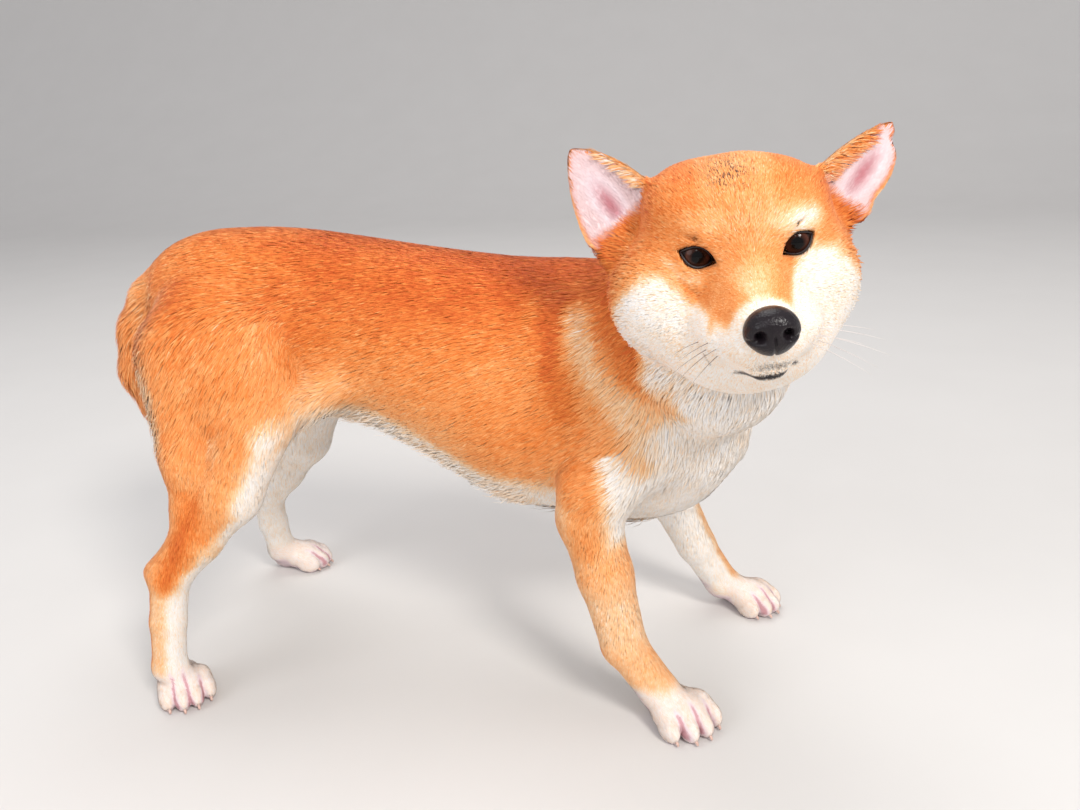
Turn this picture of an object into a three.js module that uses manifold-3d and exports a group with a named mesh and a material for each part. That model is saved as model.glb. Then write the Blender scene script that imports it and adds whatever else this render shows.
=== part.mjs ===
// A shiba inu standing with its head turned to its right, at life size, in millimetres.
// +X is the way the body faces, +Y is the dog's left, +Z is up, and the paws stand on z = 0.
//
// The dog is described as soft forms (eggs, tapered limbs, a torso) laid along a named skeleton.
// Each form is a signed distance, negative inside, and the forms melt into one another.
// The surface where the distance is nought is meshed, thinned to few triangles, and parted by thin cuts.

import * as THREE from 'three';
import Module from 'manifold-3d';

const wasm = await Module();
wasm.setup();

// Driving dimensions

const GAP = 0.3;
const FAR = 60;
const REACH = 26;

const COLOURS = {
  red: 0xd9772e,
  sand: 0xe8b684,
  cream: 0xf1e4d4,
  black: 0x17151a,
  eye: 0x2a1710,
};

const HEAD = {
  at: [235.4, -117.7, 387.2],
  yaw: -82.2,
  pitch: 0.9,
  roll: 6.0,
};

// Skeleton: joints of the right (near) side and of the left (far) side, which stand differently

const JOINTS = {
  right: {
    blade: [100, -44, 300],
    shoulder: [176, -52, 236],
    elbow: [125, -76, 170],
    wrist: [151, -86, 64],
    foreToe: [179, -90, 26],
    hip: [-212, -44, 325],
    stifle: [-146, -82, 240],
    hock: [-226, -115, 118],
    hindToe: [-238, -122, 34],
  },
  left: {
    blade: [108, 44, 298],
    shoulder: [173, 44, 234],
    elbow: [158, 72, 164],
    wrist: [200, 86, 68],
    foreToe: [224, 91, 27],
    hip: [-212, 44, 325],
    stifle: [-168, 80, 222],
    hock: [-251, 98, 94],
    hindToe: [-252, 113, 25],
  },
};

const PAWS = {
  right: {
    fore: { at: [199, -97], heading: [62, -78], length: 57, width: 60 },
    hind: { at: [-229, -119], heading: [65, -76], length: 54, width: 51 },
  },
  left: {
    fore: { at: [253, 92], heading: [78, -62], length: 57, width: 50 },
    hind: { at: [-229, 123], heading: [100, 5], length: 56, width: 45 },
  },
};

// The trunk along x: height of the back, height of the belly and half its width
const TRUNK = [
  [-268, 354, 316, 18],
  [-250, 374, 284, 38],
  [-216, 387, 258, 55],
  [-176, 390, 244, 64],
  [-125, 388, 233, 62],
  [-75, 381, 224, 62],
  [-20, 372, 197, 69],
  [45, 363, 157, 75],
  [105, 357, 146, 74],
  [160, 342, 139, 64],
  [208, 306, 155, 46],
  [238, 262, 196, 18],
];

// The tail from its root to its tip: place and half thickness
const TAIL = [
  [[-250, 0, 343], 25],
  [[-273, 0, 327], 23],
  [[-288, 0, 298], 25],
  [[-293, 0, 262], 26],
  [[-284, 2, 228], 21],
  [[-270, 5, 198], 10],
];

// The tail's core under its locks, as a share of its thickness
const TAIL_CORE = 0.66;

// Small vector sums

const add = (a, b) => a.map((value, i) => value + b[i]);
const sub = (a, b) => a.map((value, i) => value - b[i]);
const times = (a, s) => a.map((value) => value * s);
const dot = (a, b) => a[0] * b[0] + a[1] * b[1] + a[2] * b[2];
const cross = (a, b) => [a[1] * b[2] - a[2] * b[1], a[2] * b[0] - a[0] * b[2], a[0] * b[1] - a[1] * b[0]];
const size = (a) => Math.hypot(...a);
const unit = (a) => times(a, 1 / size(a));
const mix = (a, b, t) => a + (b - a) * t;
const between = (a, b, t) => a.map((value, i) => mix(value, b[i], t));
const clamp = (value, low, high) => Math.min(Math.max(value, low), high);
const ease = (value) => clamp(value, 0, 1) ** 2 * (3 - 2 * clamp(value, 0, 1));

// Soft forms

function softLeast(a, b, soft) {
  const h = Math.max(soft - Math.abs(a - b), 0) / soft;
  return Math.min(a, b) - h * h * soft * 0.25;
}

function form(distance, low, high, soft, carve = false) {
  const margin = soft + REACH;
  return { distance, low: low.map((v) => v - margin), high: high.map((v) => v + margin), soft, carve };
}

function egg(at, radii, soft, turn = null) {
  const [rx, ry, rz] = radii;
  const reach = Math.max(...radii);
  const axes = turn ?? [[1, 0, 0], [0, 1, 0], [0, 0, 1]];
  const [[ux, uy, uz], [vx, vy, vz], [wx, wy, wz]] = axes;
  const distance = (x, y, z) => {
    const px = x - at[0];
    const py = y - at[1];
    const pz = z - at[2];
    const u = (px * ux + py * uy + pz * uz) / rx;
    const v = (px * vx + py * vy + pz * vz) / ry;
    const w = (px * wx + py * wy + pz * wz) / rz;
    const inner = Math.sqrt(u * u + v * v + w * w);
    const slope = Math.sqrt((u / rx) ** 2 + (v / ry) ** 2 + (w / rz) ** 2);
    return slope > 1e-9 ? inner * (inner - 1) / slope : -Math.min(rx, ry, rz);
  };
  return form(distance, at.map((v) => v - reach), at.map((v) => v + reach), soft);
}

function taper(from, to, r0, r1, soft) {
  const along = sub(to, from);
  const length = dot(along, along);
  const reach = Math.max(r0, r1);
  const [ax, ay, az] = along;
  const distance = (x, y, z) => {
    const px = x - from[0];
    const py = y - from[1];
    const pz = z - from[2];
    const t = clamp((px * ax + py * ay + pz * az) / length, 0, 1);
    return Math.sqrt((px - t * ax) ** 2 + (py - t * ay) ** 2 + (pz - t * az) ** 2) - mix(r0, r1, t);
  };
  const low = from.map((v, i) => Math.min(v, to[i]) - reach);
  const high = from.map((v, i) => Math.max(v, to[i]) + reach);
  return form(distance, low, high, soft);
}

function chain(stops, soft) {
  return stops.slice(1).map(([to, r1], i) => taper(stops[i][0], to, stops[i][1], r1, soft));
}

function carved(shape, soft) {
  return { ...shape, soft, carve: true };
}

// A form described in a turned frame, such as the head's
function placed(shape, matrix) {
  const back = matrix.clone().invert();
  const point = new THREE.Vector3();
  const distance = (x, y, z) => {
    point.set(x, y, z).applyMatrix4(back);
    return shape.distance(point.x, point.y, point.z);
  };
  const low = [Infinity, Infinity, Infinity];
  const high = [-Infinity, -Infinity, -Infinity];
  for (let corner = 0; corner < 8; corner += 1) {
    point.set(
      corner & 1 ? shape.high[0] : shape.low[0],
      corner & 2 ? shape.high[1] : shape.low[1],
      corner & 4 ? shape.high[2] : shape.low[2],
    ).applyMatrix4(matrix);
    point.toArray().forEach((value, i) => {
      low[i] = Math.min(low[i], value);
      high[i] = Math.max(high[i], value);
    });
  }
  return { ...shape, distance, low, high };
}

function distanceTo(forms, x, y, z) {
  let nearest = FAR;
  for (const shape of forms) {
    const { low, high } = shape;
    if (x < low[0] || y < low[1] || z < low[2] || x > high[0] || y > high[1] || z > high[2]) continue;
    const here = shape.distance(x, y, z);
    nearest = shape.carve ? -softLeast(-nearest, here, shape.soft) : softLeast(nearest, here, shape.soft);
  }
  return nearest;
}

// The trunk, head, legs and tail as forms

function smoothAt(stations, x, column) {
  const last = stations.length - 1;
  let i = 0;
  while (i < last - 1 && stations[i + 1][0] < x) i += 1;
  const [before, here, next, after] = [i - 1, i, i + 1, i + 2].map((k) => stations[clamp(k, 0, last)]);
  const t = clamp((x - here[0]) / (next[0] - here[0]), 0, 1);
  const span = next[0] - here[0];
  const slopeHere = (next[column] - before[column]) / (next[0] - before[0]) * span;
  const slopeNext = (after[column] - here[column]) / (after[0] - here[0]) * span;
  const t2 = t * t;
  const t3 = t2 * t;
  return (2 * t3 - 3 * t2 + 1) * here[column] + (t3 - 2 * t2 + t) * slopeHere
    + (3 * t2 - 2 * t3) * next[column] + (t3 - t2) * slopeNext;
}

function trunkForm() {
  const start = TRUNK[0][0];
  const end = TRUNK[TRUNK.length - 1][0];
  const distance = (x, y, z) => {
    const at = clamp(x, start, end);
    const back = smoothAt(TRUNK, at, 1);
    const belly = smoothAt(TRUNK, at, 2);
    const half = smoothAt(TRUNK, at, 3);
    const tall = (back - belly) / 2;
    const up = z - (back + belly) / 2;
    const inner = Math.hypot(y / half, up / tall);
    const slope = Math.hypot(y / half ** 2, up / tall ** 2);
    const side = slope > 1e-9 ? inner * (inner - 1) / slope : -Math.min(half, tall);
    const past = Math.abs(x - at);
    return past > 0 ? Math.hypot(Math.max(side, 0), past) : side;
  };
  return form(distance, [start, -78, 145], [end, 78, 392], 20);
}

function headForms() {
  const mirror = (make) => [-1, 1].flatMap((side) => make(side));
  return [
    egg([-5, 0, 6], [60, 58, 50], 10),
    egg([10, 0, 19], [36, 44, 35], 12),
    ...mirror((side) => egg([-8, 27 * side, 24 - 3.5 * side], [42, 31, 27], 10)),
    ...mirror((side) => egg([-3, CHEEK_SHIFT + 35 * side, -28], [50, 44, 44], 16)),
    egg([24, CHEEK_SHIFT / 3, -53], [47, 52, 37], 14),
    taper([38, 0, -27], [90, 0, -33.5], 34, 20, 12),
    taper([36, 0, 2], [66, 0, -16], 14, 10, 12),
    ...mirror((side) => egg([60, 20 * side, -40], [28, 17, 17], 10)),
    ...mirror((side) => egg([83, 11 * side, -40], [19, 14, 13], 6)),
    taper([30, 0, -54], [90, 0, -53], 26, 11, 10),
    ...mirror((side) => egg([33, 21 * side, 17], [15, 15, 12], 8)),
    egg([-24, -70, 0], [18, 16, 24], 10),
    egg([-24, 58, -2], [18, 12, 20], 10),
    egg([106.5, 1.5, -29.5], [13, 15.3, 13.5], 2),
  ];
}

// The ruff bulges on the inner side of the turned neck
const CHEEK_SHIFT = -6;

const EAR = { halfWidth: 31, rootThick: 7, tipThick: 3.2, rootCup: 14, tipCup: 5, bow: 1.7 };

const EARS = {
  right: {
    root: [-22, -68, 20], tip: [-32, -100, 72], outer: [-25, -88, -4],
    inward: 31, outward: 28, bow: 1.7, flare: 0, notch: 0, drop: 32,
  },
  left: {
    root: [-20, 66, 15], tip: [-30, 106, 58], outer: [-25, 79, -9],
    inward: 31, outward: 26, bow: 1.15, flare: 0.9, notch: 4, drop: 18,
  },
};

function earFrame(ear) {
  const up = unit(sub(ear.tip, ear.root));
  const slant = sub(ear.outer, ear.root);
  const out = unit(sub(slant, times(up, dot(slant, up))));
  const front = cross(up, out);
  const forward = front[0] > 0 ? front : times(front, -1);
  return { up, out, forward };
}

function earForm(ear) {
  const { up, out, forward } = earFrame(ear);
  const long = size(sub(ear.tip, ear.root));
  const distance = (x, y, z) => {
    const p = [x - ear.root[0], y - ear.root[1], z - ear.root[2]];
    const v = dot(p, up);
    const u = dot(p, out);
    const w = dot(p, forward);
    const t = clamp(v / long, 0, 1);
    const notch = u > 0 ? ear.notch * Math.exp(-(((t - 0.86) / 0.05) ** 2)) : 0;
    const flare = u > 0 ? 1 + ear.flare * (Math.abs(Math.min(t, 0.8) - 0.25) - 0.2) : 1;
    const bow = u > 0 ? EAR.bow : ear.bow;
    const below = Math.sqrt(Math.max(1 - (Math.min(v, 0) / ear.drop) ** 2, 0));
    const half = (u > 0 ? ear.outward : ear.inward) * (1 - t ** bow) ** 0.75 * flare * below - notch;
    const rim = Math.abs(u) - half;
    const edge = v > long ? Math.hypot(u, v - long) : rim * 0.85;
    const cup = mix(EAR.rootCup, EAR.tipCup, t) * (u / EAR.halfWidth) ** 2;
    const plate = Math.abs(w - cup) - mix(EAR.rootThick, EAR.tipThick, t) / 2;
    const leaf = -softLeast(-plate, -edge, 2);
    return Math.max(leaf, -v - ear.drop * 0.95);
  };
  const low = ear.root.map((value, i) => Math.min(value, ear.tip[i]) - 40);
  const high = ear.root.map((value, i) => Math.max(value, ear.tip[i]) + 40);
  return form(distance, low, high, 9);
}

function foreLegForms(side) {
  const j = JOINTS[side];
  const out = side === 'right' ? -1 : 1;
  const lean = unit(sub(j.shoulder, j.blade));
  const across = [0, 1, 0];
  const bladeAxes = [lean, across, cross(lean, across)];
  const blade = egg(between(j.blade, j.shoulder, 0.35), [62, 26, 40], 22, bladeAxes);
  const thick = add(j.elbow, [6, out * -2, 22]);
  return [
    blade,
    taper(add(j.shoulder, [-10, 0, -4]), thick, 36, 30, 22),
    ...chain([[thick, 29], [j.elbow, 25], [between(j.elbow, j.wrist, 0.45), 21.5], [j.wrist, 18.5]], 8),
    taper(j.wrist, j.foreToe, 17, 16, 5),
  ];
}

function hindLegForms(side) {
  const j = JOINTS[side];
  const out = side === 'right' ? -1 : 1;
  const down = unit(sub(j.stifle, j.hip));
  const across = unit([0.1, 1, 0.3 * out]);
  const thighAxes = [down, across, unit(cross(down, across))];
  const back = add(j.hock, [-14, 0, 3]);
  const seat = add(j.hip, [2, out * 20, -30]);
  const shin = add(between(j.stifle, j.hock, 0.4), [8, 0, -5]);
  const ankle = add(between(j.stifle, j.hock, 0.72), [4, 0, -4]);
  const cannon = add(between(j.hock, j.hindToe, 0.5), [-1.5, 0, 0]);
  const ham = add(between(j.stifle, j.hock, 0.28), [-32, out * 2, 8]);
  const calf = add(between(j.stifle, j.hock, 0.58), [-10, 0, 0]);
  const tendon = add(between(j.stifle, j.hock, 0.82), [-3, 0, 0]);
  const fold = add(j.stifle, [8, out * -6, 8]);
  return [
    taper([-78, out * 42, 268], fold, 16, 20, 20),
    egg(add(between(j.hip, j.stifle, 0.5), [0, out * 2, 4]), [76, 38, 62], 18, thighAxes),
    ...chain([[seat, 36], [ham, 23], [calf, 17], [tendon, 9], [back, 8]], 12),
    ...chain([[j.stifle, 30], [shin, 25], [ankle, 18.5], [j.hock, 17.5]], 10),
    ...chain([[j.hock, 16.5], [cannon, 14.5], [j.hindToe, 14]], 5),
  ];
}

const TOES = [-1.5, -0.5, 0.5, 1.5];

function pawFrame(paw) {
  const ahead = unit([...paw.heading, 0]);
  const leftward = [-ahead[1], ahead[0], 0];
  const spot = (forward, across, up) => (
    add([...paw.at, up], add(times(ahead, forward), times(leftward, across)))
  );
  return { ahead, leftward, spot, axes: [ahead, leftward, [0, 0, 1]] };
}

function toePlace(paw, toe) {
  const outer = Math.abs(toe) > 1;
  return { forward: paw.length / 2 - (outer ? 20 : 13), across: toe * paw.width / 4.5 };
}

function pawForms(paw, knuckle) {
  const { spot, axes } = pawFrame(paw);
  const pad = egg(spot(-3, 0, 13), [paw.length * 0.4, paw.width * 0.42, 14], 6, axes);
  const instep = taper(knuckle, spot(2, 0, 13), 13.5, 12, 6);
  const heel = egg(spot(-paw.length * 0.42, 0, 11), [13, paw.width * 0.3, 12], 6, axes);
  const toes = TOES.flatMap((toe) => {
    const { forward, across } = toePlace(paw, toe);
    return [
      egg(spot(forward, across, 9.5), [12.5, 6.8, 10.5], 2.5, axes),
      egg(spot(forward - 10, across * 0.92, 15.5), [11, 6.6, 8.5], 3.5, axes),
    ];
  });
  return [pad, instep, heel, ...toes];
}

const headMatrix = new THREE.Matrix4().makeRotationFromEuler(new THREE.Euler(
  THREE.MathUtils.degToRad(HEAD.roll),
  THREE.MathUtils.degToRad(HEAD.pitch),
  THREE.MathUtils.degToRad(HEAD.yaw),
  'ZYX',
)).setPosition(...HEAD.at);

const inHead = (shape) => placed(shape, headMatrix);

function neckForms() {
  return [
    ...chain([[[120, 0, 283], 66], [[198, -30, 304], 62], [[230, -88, 348], 57]], 26),
    egg([198, -10, 238], [48, 54, 60], 24),
    egg([224, -72, 290], [47, 53, 46], 26),
  ];
}

const tailForms = chain(TAIL, 7);
const tailCoreForms = chain(TAIL.map(([at, radius], i) => [at, radius * (i === 0 ? 1 : TAIL_CORE)]), 7);

const fleshForms = [
  trunkForm(),
  ...neckForms(),
  ...['right', 'left'].flatMap(foreLegForms),
  ...['right', 'left'].flatMap(hindLegForms),
  ...['right', 'left'].flatMap((side) => [
    ...pawForms(PAWS[side].fore, JOINTS[side].foreToe),
    ...pawForms(PAWS[side].hind, JOINTS[side].hindToe),
  ]),
  ...headForms().map(inHead),
  ...['right', 'left'].map((side) => inHead(earForm(EARS[side]))),
];
const coatForms = [...fleshForms, ...tailForms];
const coreForms = [...fleshForms, ...tailCoreForms];

// Eyes, lids, mouth and nostrils, carved in the head's own frame

const EYE = { radius: 10.5, at: [33, 29.5, 3.5], lid: 2, opening: [11.5, 6.6], slant: 22 };

function eyeForms(side) {
  const centre = [EYE.at[0], EYE.at[1] * side, EYE.at[2]];
  const slant = THREE.MathUtils.degToRad(EYE.slant);
  const along = [0, Math.cos(slant) * side, Math.sin(slant)];
  const across = cross([1, 0, 0], along);
  const lids = egg(centre, [1, 1, 1].map(() => EYE.radius + EYE.lid), 5);
  const opening = (x, y, z) => {
    const p = [x - centre[0], y - centre[1], z - centre[2]];
    const u = dot(p, along) / EYE.opening[0];
    const v = dot(p, across) / EYE.opening[1];
    return Math.max((Math.abs(v) + u * u - 1) * EYE.opening[1] * 0.7, -p[0]);
  };
  const low = add(centre, [0, -16, -16]);
  const high = add(centre, [24, 16, 16]);
  return [
    lids,
    carved(form(opening, low, high, 1), 1),
    carved(egg(centre, [1, 1, 1].map(() => EYE.radius - 1), 0.4), 0.4),
  ];
}

function mouthForms() {
  return [-1, 1].flatMap((side) => chain([
    [[66, 37 * side, -43], 1.2],
    [[86, 27 * side, -50], 2],
    [[99, 14 * side, -54], 2],
    [[105, 0, -53], 2],
  ], 1).map((shape) => carved(shape, 1.5)));
}

function nostrilForms() {
  return [-1, 1].map((side) => {
    const y = 1.5 + 7 * side;
    return carved(taper([119, y, -29], [112, y + side, -30], 3.2, 2.4, 1), 1.5);
  });
}

const faceForms = [...eyeForms(-1), ...eyeForms(1), ...mouthForms(), ...nostrilForms()];

// Meshing: each grid cube is six tetrahedra, and the surface crosses their edges

const CORNERS = [0, 1, 2, 3, 4, 5, 6, 7].map((c) => [c & 1, (c >> 1) & 1, (c >> 2) & 1]);
const TETRAHEDRA = [[0, 1, 3, 7], [0, 3, 2, 7], [0, 2, 6, 7], [0, 6, 4, 7], [0, 4, 5, 7], [0, 5, 1, 7]];
const EVEN_ORDERS = [
  [0, 1, 2, 3], [0, 2, 3, 1], [0, 3, 1, 2], [1, 0, 3, 2], [1, 2, 0, 3], [1, 3, 2, 0],
  [2, 0, 1, 3], [2, 1, 3, 0], [2, 3, 0, 1], [3, 0, 2, 1], [3, 1, 0, 2], [3, 2, 1, 0],
];
const NEAREST_TO_CORNER = 0.04;
const BLOCK = 4;

// For each pattern of inside corners: the tetrahedron's edges that each triangle joins
const CROSSINGS = Array.from({ length: 16 }, (_, pattern) => {
  const inside = [0, 1, 2, 3].filter((i) => pattern & (1 << i));
  const lone = inside.length === 1 ? inside : [0, 1, 2, 3].filter((i) => !inside.includes(i));
  if (inside.length === 0 || inside.length === 4) return [];
  if (inside.length === 2) {
    const [a, b, c, d] = EVEN_ORDERS.find((order) => inside.includes(order[0]) && inside.includes(order[1]));
    return [[[a, c], [a, d], [b, d]], [[a, c], [b, d], [b, c]]];
  }
  const [a, b, c, d] = EVEN_ORDERS.find((order) => order[0] === lone[0]);
  return inside.length === 1 ? [[[a, b], [a, c], [a, d]]] : [[[a, b], [a, d], [a, c]]];
});

function meshOf(distance, low, high, cell) {
  const counts = low.map((v, i) => Math.ceil((high[i] - v) / cell) + 3);
  const [nx, ny, nz] = counts;
  const at = (i, axis) => low[axis] + (i - 1) * cell;
  const wall = (x, y, z) => Math.max(
    low[0] - x, x - high[0], low[1] - y, y - high[1], low[2] - z, z - high[2],
  );
  const values = new Float64Array(nx * ny * nz);
  const sample = (i, j, k) => {
    const [x, y, z] = [at(i, 0), at(j, 1), at(k, 2)];
    const value = Math.max(distance(x, y, z), wall(x, y, z));
    return Math.abs(value) < 1e-6 ? 1e-6 : value;
  };
  // A block of points far from the surface takes the distance at its middle
  const far = BLOCK * cell * 1.5;
  for (let k0 = 0; k0 < nz; k0 += BLOCK) {
    for (let j0 = 0; j0 < ny; j0 += BLOCK) {
      for (let i0 = 0; i0 < nx; i0 += BLOCK) {
        const middle = sample(i0 + BLOCK / 2, j0 + BLOCK / 2, k0 + BLOCK / 2);
        for (let k = k0; k < Math.min(k0 + BLOCK, nz); k += 1) {
          for (let j = j0; j < Math.min(j0 + BLOCK, ny); j += 1) {
            for (let i = i0; i < Math.min(i0 + BLOCK, nx); i += 1) {
              values[i + nx * (j + ny * k)] = Math.abs(middle) > far ? middle : sample(i, j, k);
            }
          }
        }
      }
    }
  }
  const steps = CORNERS.map(([x, y, z]) => x + nx * (y + ny * z));
  const points = [];
  const triangles = [];
  const known = new Map();
  const crossing = (base, a, b) => {
    const first = base + steps[Math.min(a, b)];
    const key = first * 8 + (a ^ b);
    if (known.has(key)) return known.get(key);
    const second = base + steps[Math.max(a, b)];
    const share = values[first] / (values[first] - values[second]);
    const t = clamp(share, NEAREST_TO_CORNER, 1 - NEAREST_TO_CORNER);
    const place = (index) => {
      const i = index % nx;
      const j = Math.floor(index / nx) % ny;
      return [at(i, 0), at(j, 1), at(Math.floor(index / (nx * ny)), 2)];
    };
    points.push(between(place(first), place(second), t));
    known.set(key, points.length - 1);
    return points.length - 1;
  };
  for (let k = 0; k < nz - 1; k += 1) {
    for (let j = 0; j < ny - 1; j += 1) {
      for (let i = 0; i < nx - 1; i += 1) {
        const base = i + nx * (j + ny * k);
        let inside = 0;
        steps.forEach((step, c) => {
          if (values[base + step] < 0) inside |= 1 << c;
        });
        if (inside === 0 || inside === 255) continue;
        for (const tetrahedron of TETRAHEDRA) {
          let pattern = 0;
          tetrahedron.forEach((corner, c) => {
            if (inside & (1 << corner)) pattern |= 1 << c;
          });
          for (const edges of CROSSINGS[pattern]) {
            triangles.push(edges.map(([a, b]) => crossing(base, tetrahedron[a], tetrahedron[b])));
          }
        }
      }
    }
  }
  return { points, triangles };
}

// Thinning: the edge whose loss changes the shape least is closed first

class Heap {
  constructor() {
    this.items = [];
  }

  push(item) {
    const { items } = this;
    let at = items.length;
    items.push(item);
    while (at > 0) {
      const parent = (at - 1) >> 1;
      if (items[parent].cost <= item.cost) break;
      items[at] = items[parent];
      at = parent;
    }
    items[at] = item;
  }

  pop() {
    const { items } = this;
    const top = items[0];
    const last = items.pop();
    if (items.length === 0) return top;
    let at = 0;
    for (;;) {
      let child = 2 * at + 1;
      if (child >= items.length) break;
      if (child + 1 < items.length && items[child + 1].cost < items[child].cost) child += 1;
      if (items[child].cost >= last.cost) break;
      items[at] = items[child];
      at = child;
    }
    items[at] = last;
    return top;
  }
}

// A quadric holds the summed squares of the distances to some planes, as 10 numbers
const QUADRIC = 10;

function addPlane(quadrics, at, [a, b, c], d, weight) {
  const terms = [a * a, a * b, a * c, a * d, b * b, b * c, b * d, c * c, c * d, d * d];
  terms.forEach((term, i) => {
    quadrics[at * QUADRIC + i] += term * weight;
  });
}

function quadricAt(q, x, y, z) {
  return x * (q[0] * x + 2 * (q[1] * y + q[2] * z + q[3])) + y * (q[4] * y + 2 * (q[5] * z + q[6]))
    + z * (q[7] * z + 2 * q[8]) + q[9];
}

// The point of least cost, by Cramer's rule, or null where the planes don't fix one
function lowestPoint(q) {
  const [xx, xy, xz, xd, yy, yz, yd, zz, zd] = q;
  const a = yy * zz - yz * yz;
  const b = xz * yz - xy * zz;
  const c = xy * yz - xz * yy;
  const volume = xx * a + xy * b + xz * c;
  if (Math.abs(volume) < 1e-4 * (xx + yy + zz) ** 3) return null;
  const x = -(xd * a + yd * b + zd * c) / volume;
  const y = -(xd * b + yd * (xx * zz - xz * xz) + zd * (xy * xz - xx * yz)) / volume;
  const z = -(xd * c + yd * (xy * xz - xx * yz) + zd * (xx * yy - xy * xy)) / volume;
  return [x, y, z];
}

function thinned({ points, triangles }, target, shortest = 0) {
  const place = points.map((p) => [...p]);
  const faces = triangles.map((t) => [...t]);
  const around = place.map(() => []);
  const quadrics = new Float64Array(QUADRIC * place.length);
  const stamps = new Uint32Array(place.length);
  const gone = new Uint8Array(place.length);
  const heap = new Heap();
  const sum = new Float64Array(QUADRIC);

  faces.forEach((face, index) => {
    face.forEach((v) => around[v].push(index));
    const [a, b, c] = face.map((v) => place[v]);
    const normal = cross(sub(b, a), sub(c, a));
    const area = size(normal);
    if (area < 1e-12) return;
    const facing = times(normal, 1 / area);
    face.forEach((v) => addPlane(quadrics, v, facing, -dot(facing, a), area));
  });

  const neighbours = (v) => {
    const found = [];
    for (const index of around[v]) {
      for (const w of faces[index]) {
        if (w !== v && !found.includes(w)) found.push(w);
      }
    }
    return found;
  };

  const offer = (a, b) => {
    const [p, q] = [place[a], place[b]];
    const length = Math.hypot(p[0] - q[0], p[1] - q[1], p[2] - q[2]);
    const stamp = stamps[a] + stamps[b];
    if (shortest > 0) {
      if (length < shortest) heap.push({ cost: length, a, b, stamp, to: p });
      return;
    }
    for (let i = 0; i < QUADRIC; i += 1) sum[i] = quadrics[a * QUADRIC + i] + quadrics[b * QUADRIC + i];
    let to = lowestPoint(sum);
    const middle = [(p[0] + q[0]) / 2, (p[1] + q[1]) / 2, (p[2] + q[2]) / 2];
    const strays = to === null
      || Math.hypot(to[0] - middle[0], to[1] - middle[1], to[2] - middle[2]) > 2 * length;
    if (strays) {
      to = [p, q, middle].reduce((best, at) => (quadricAt(sum, ...at) < quadricAt(sum, ...best) ? at : best));
    }
    heap.push({ cost: quadricAt(sum, to[0], to[1], to[2]) + 1e-7 * length, a, b, stamp, to });
  };

  // Whether moving a corner turns a face over or leaves it a sliver
  const spoils = (v, other, to) => {
    for (const index of around[v]) {
      const face = faces[index];
      if (face[0] === other || face[1] === other || face[2] === other) continue;
      const turn = face[0] === v ? 0 : (face[1] === v ? 1 : 2);
      const [p, a, b] = [place[v], place[face[(turn + 1) % 3]], place[face[(turn + 2) % 3]]];
      const [ex, ey, ez] = [b[0] - a[0], b[1] - a[1], b[2] - a[2]];
      const [px, py, pz] = [a[0] - p[0], a[1] - p[1], a[2] - p[2]];
      const [tx, ty, tz] = [a[0] - to[0], a[1] - to[1], a[2] - to[2]];
      const [bx, by, bz] = [py * ez - pz * ey, pz * ex - px * ez, px * ey - py * ex];
      const [nx, ny, nz] = [ty * ez - tz * ey, tz * ex - tx * ez, tx * ey - ty * ex];
      const spread = Math.sqrt(nx * nx + ny * ny + nz * nz);
      const before = Math.sqrt(bx * bx + by * by + bz * bz);
      if (shortest > 0 && before < shortest * shortest) continue;
      if (bx * nx + by * ny + bz * nz < 0.25 * before * spread) return true;
      const longest = Math.max(ex * ex + ey * ey + ez * ez, tx * tx + ty * ty + tz * tz);
      if (shortest === 0 && spread < 0.02 * longest) return true;
    }
    return false;
  };

  const close = (a, b) => {
    for (const index of around[b]) {
      const face = faces[index];
      if (face.includes(a)) {
        face.forEach((v) => {
          if (v !== b) around[v] = around[v].filter((other) => other !== index);
        });
        faces[index] = null;
        count -= 1;
      } else {
        face[face.indexOf(b)] = a;
        around[a].push(index);
      }
    }
    for (let i = 0; i < QUADRIC; i += 1) quadrics[a * QUADRIC + i] += quadrics[b * QUADRIC + i];
    gone[b] = 1;
    stamps[a] += 1;
  };

  let count = faces.length;
  place.forEach((_, v) => neighbours(v).forEach((w) => {
    if (v < w) offer(v, w);
  }));
  while (heap.items.length > 0 && count > target) {
    const { a, b, stamp, to } = heap.pop();
    if (gone[a] || gone[b] || stamps[a] + stamps[b] !== stamp) continue;
    const nearA = neighbours(a);
    const nearB = neighbours(b);
    const shared = nearA.filter((w) => nearB.includes(w)).length;
    if (!nearA.includes(b) || shared !== 2) continue;
    const choices = shortest > 0 ? [place[a], place[b]] : [to];
    const fitting = choices.find((spot) => !spoils(a, b, spot) && !spoils(b, a, spot));
    if (fitting === undefined) continue;
    place[a] = fitting;
    close(a, b);
    neighbours(a).forEach((w) => offer(Math.min(a, w), Math.max(a, w)));
  }

  const renamed = new Map();
  const kept = [];
  const left = faces.filter((face) => face !== null).map((face) => face.map((v) => {
    if (!renamed.has(v)) {
      renamed.set(v, kept.length);
      kept.push(place[v]);
    }
    return renamed.get(v);
  }));
  return { points: kept, triangles: left };
}

// Solids: joins and cuts

function solidOf({ points, triangles }) {
  return new wasm.Manifold(new wasm.Mesh({
    numProp: 3,
    vertProperties: new Float32Array(points.flat()),
    triVerts: new Uint32Array(triangles.flat()),
  }));
}

function meshFrom(solid) {
  const { vertProperties, triVerts, numProp } = solid.getMesh();
  const points = [];
  for (let i = 0; i < vertProperties.length; i += numProp) points.push([...vertProperties.slice(i, i + 3)]);
  const triangles = [];
  for (let i = 0; i < triVerts.length; i += 3) triangles.push([...triVerts.slice(i, i + 3)]);
  return { points, triangles };
}

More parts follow.
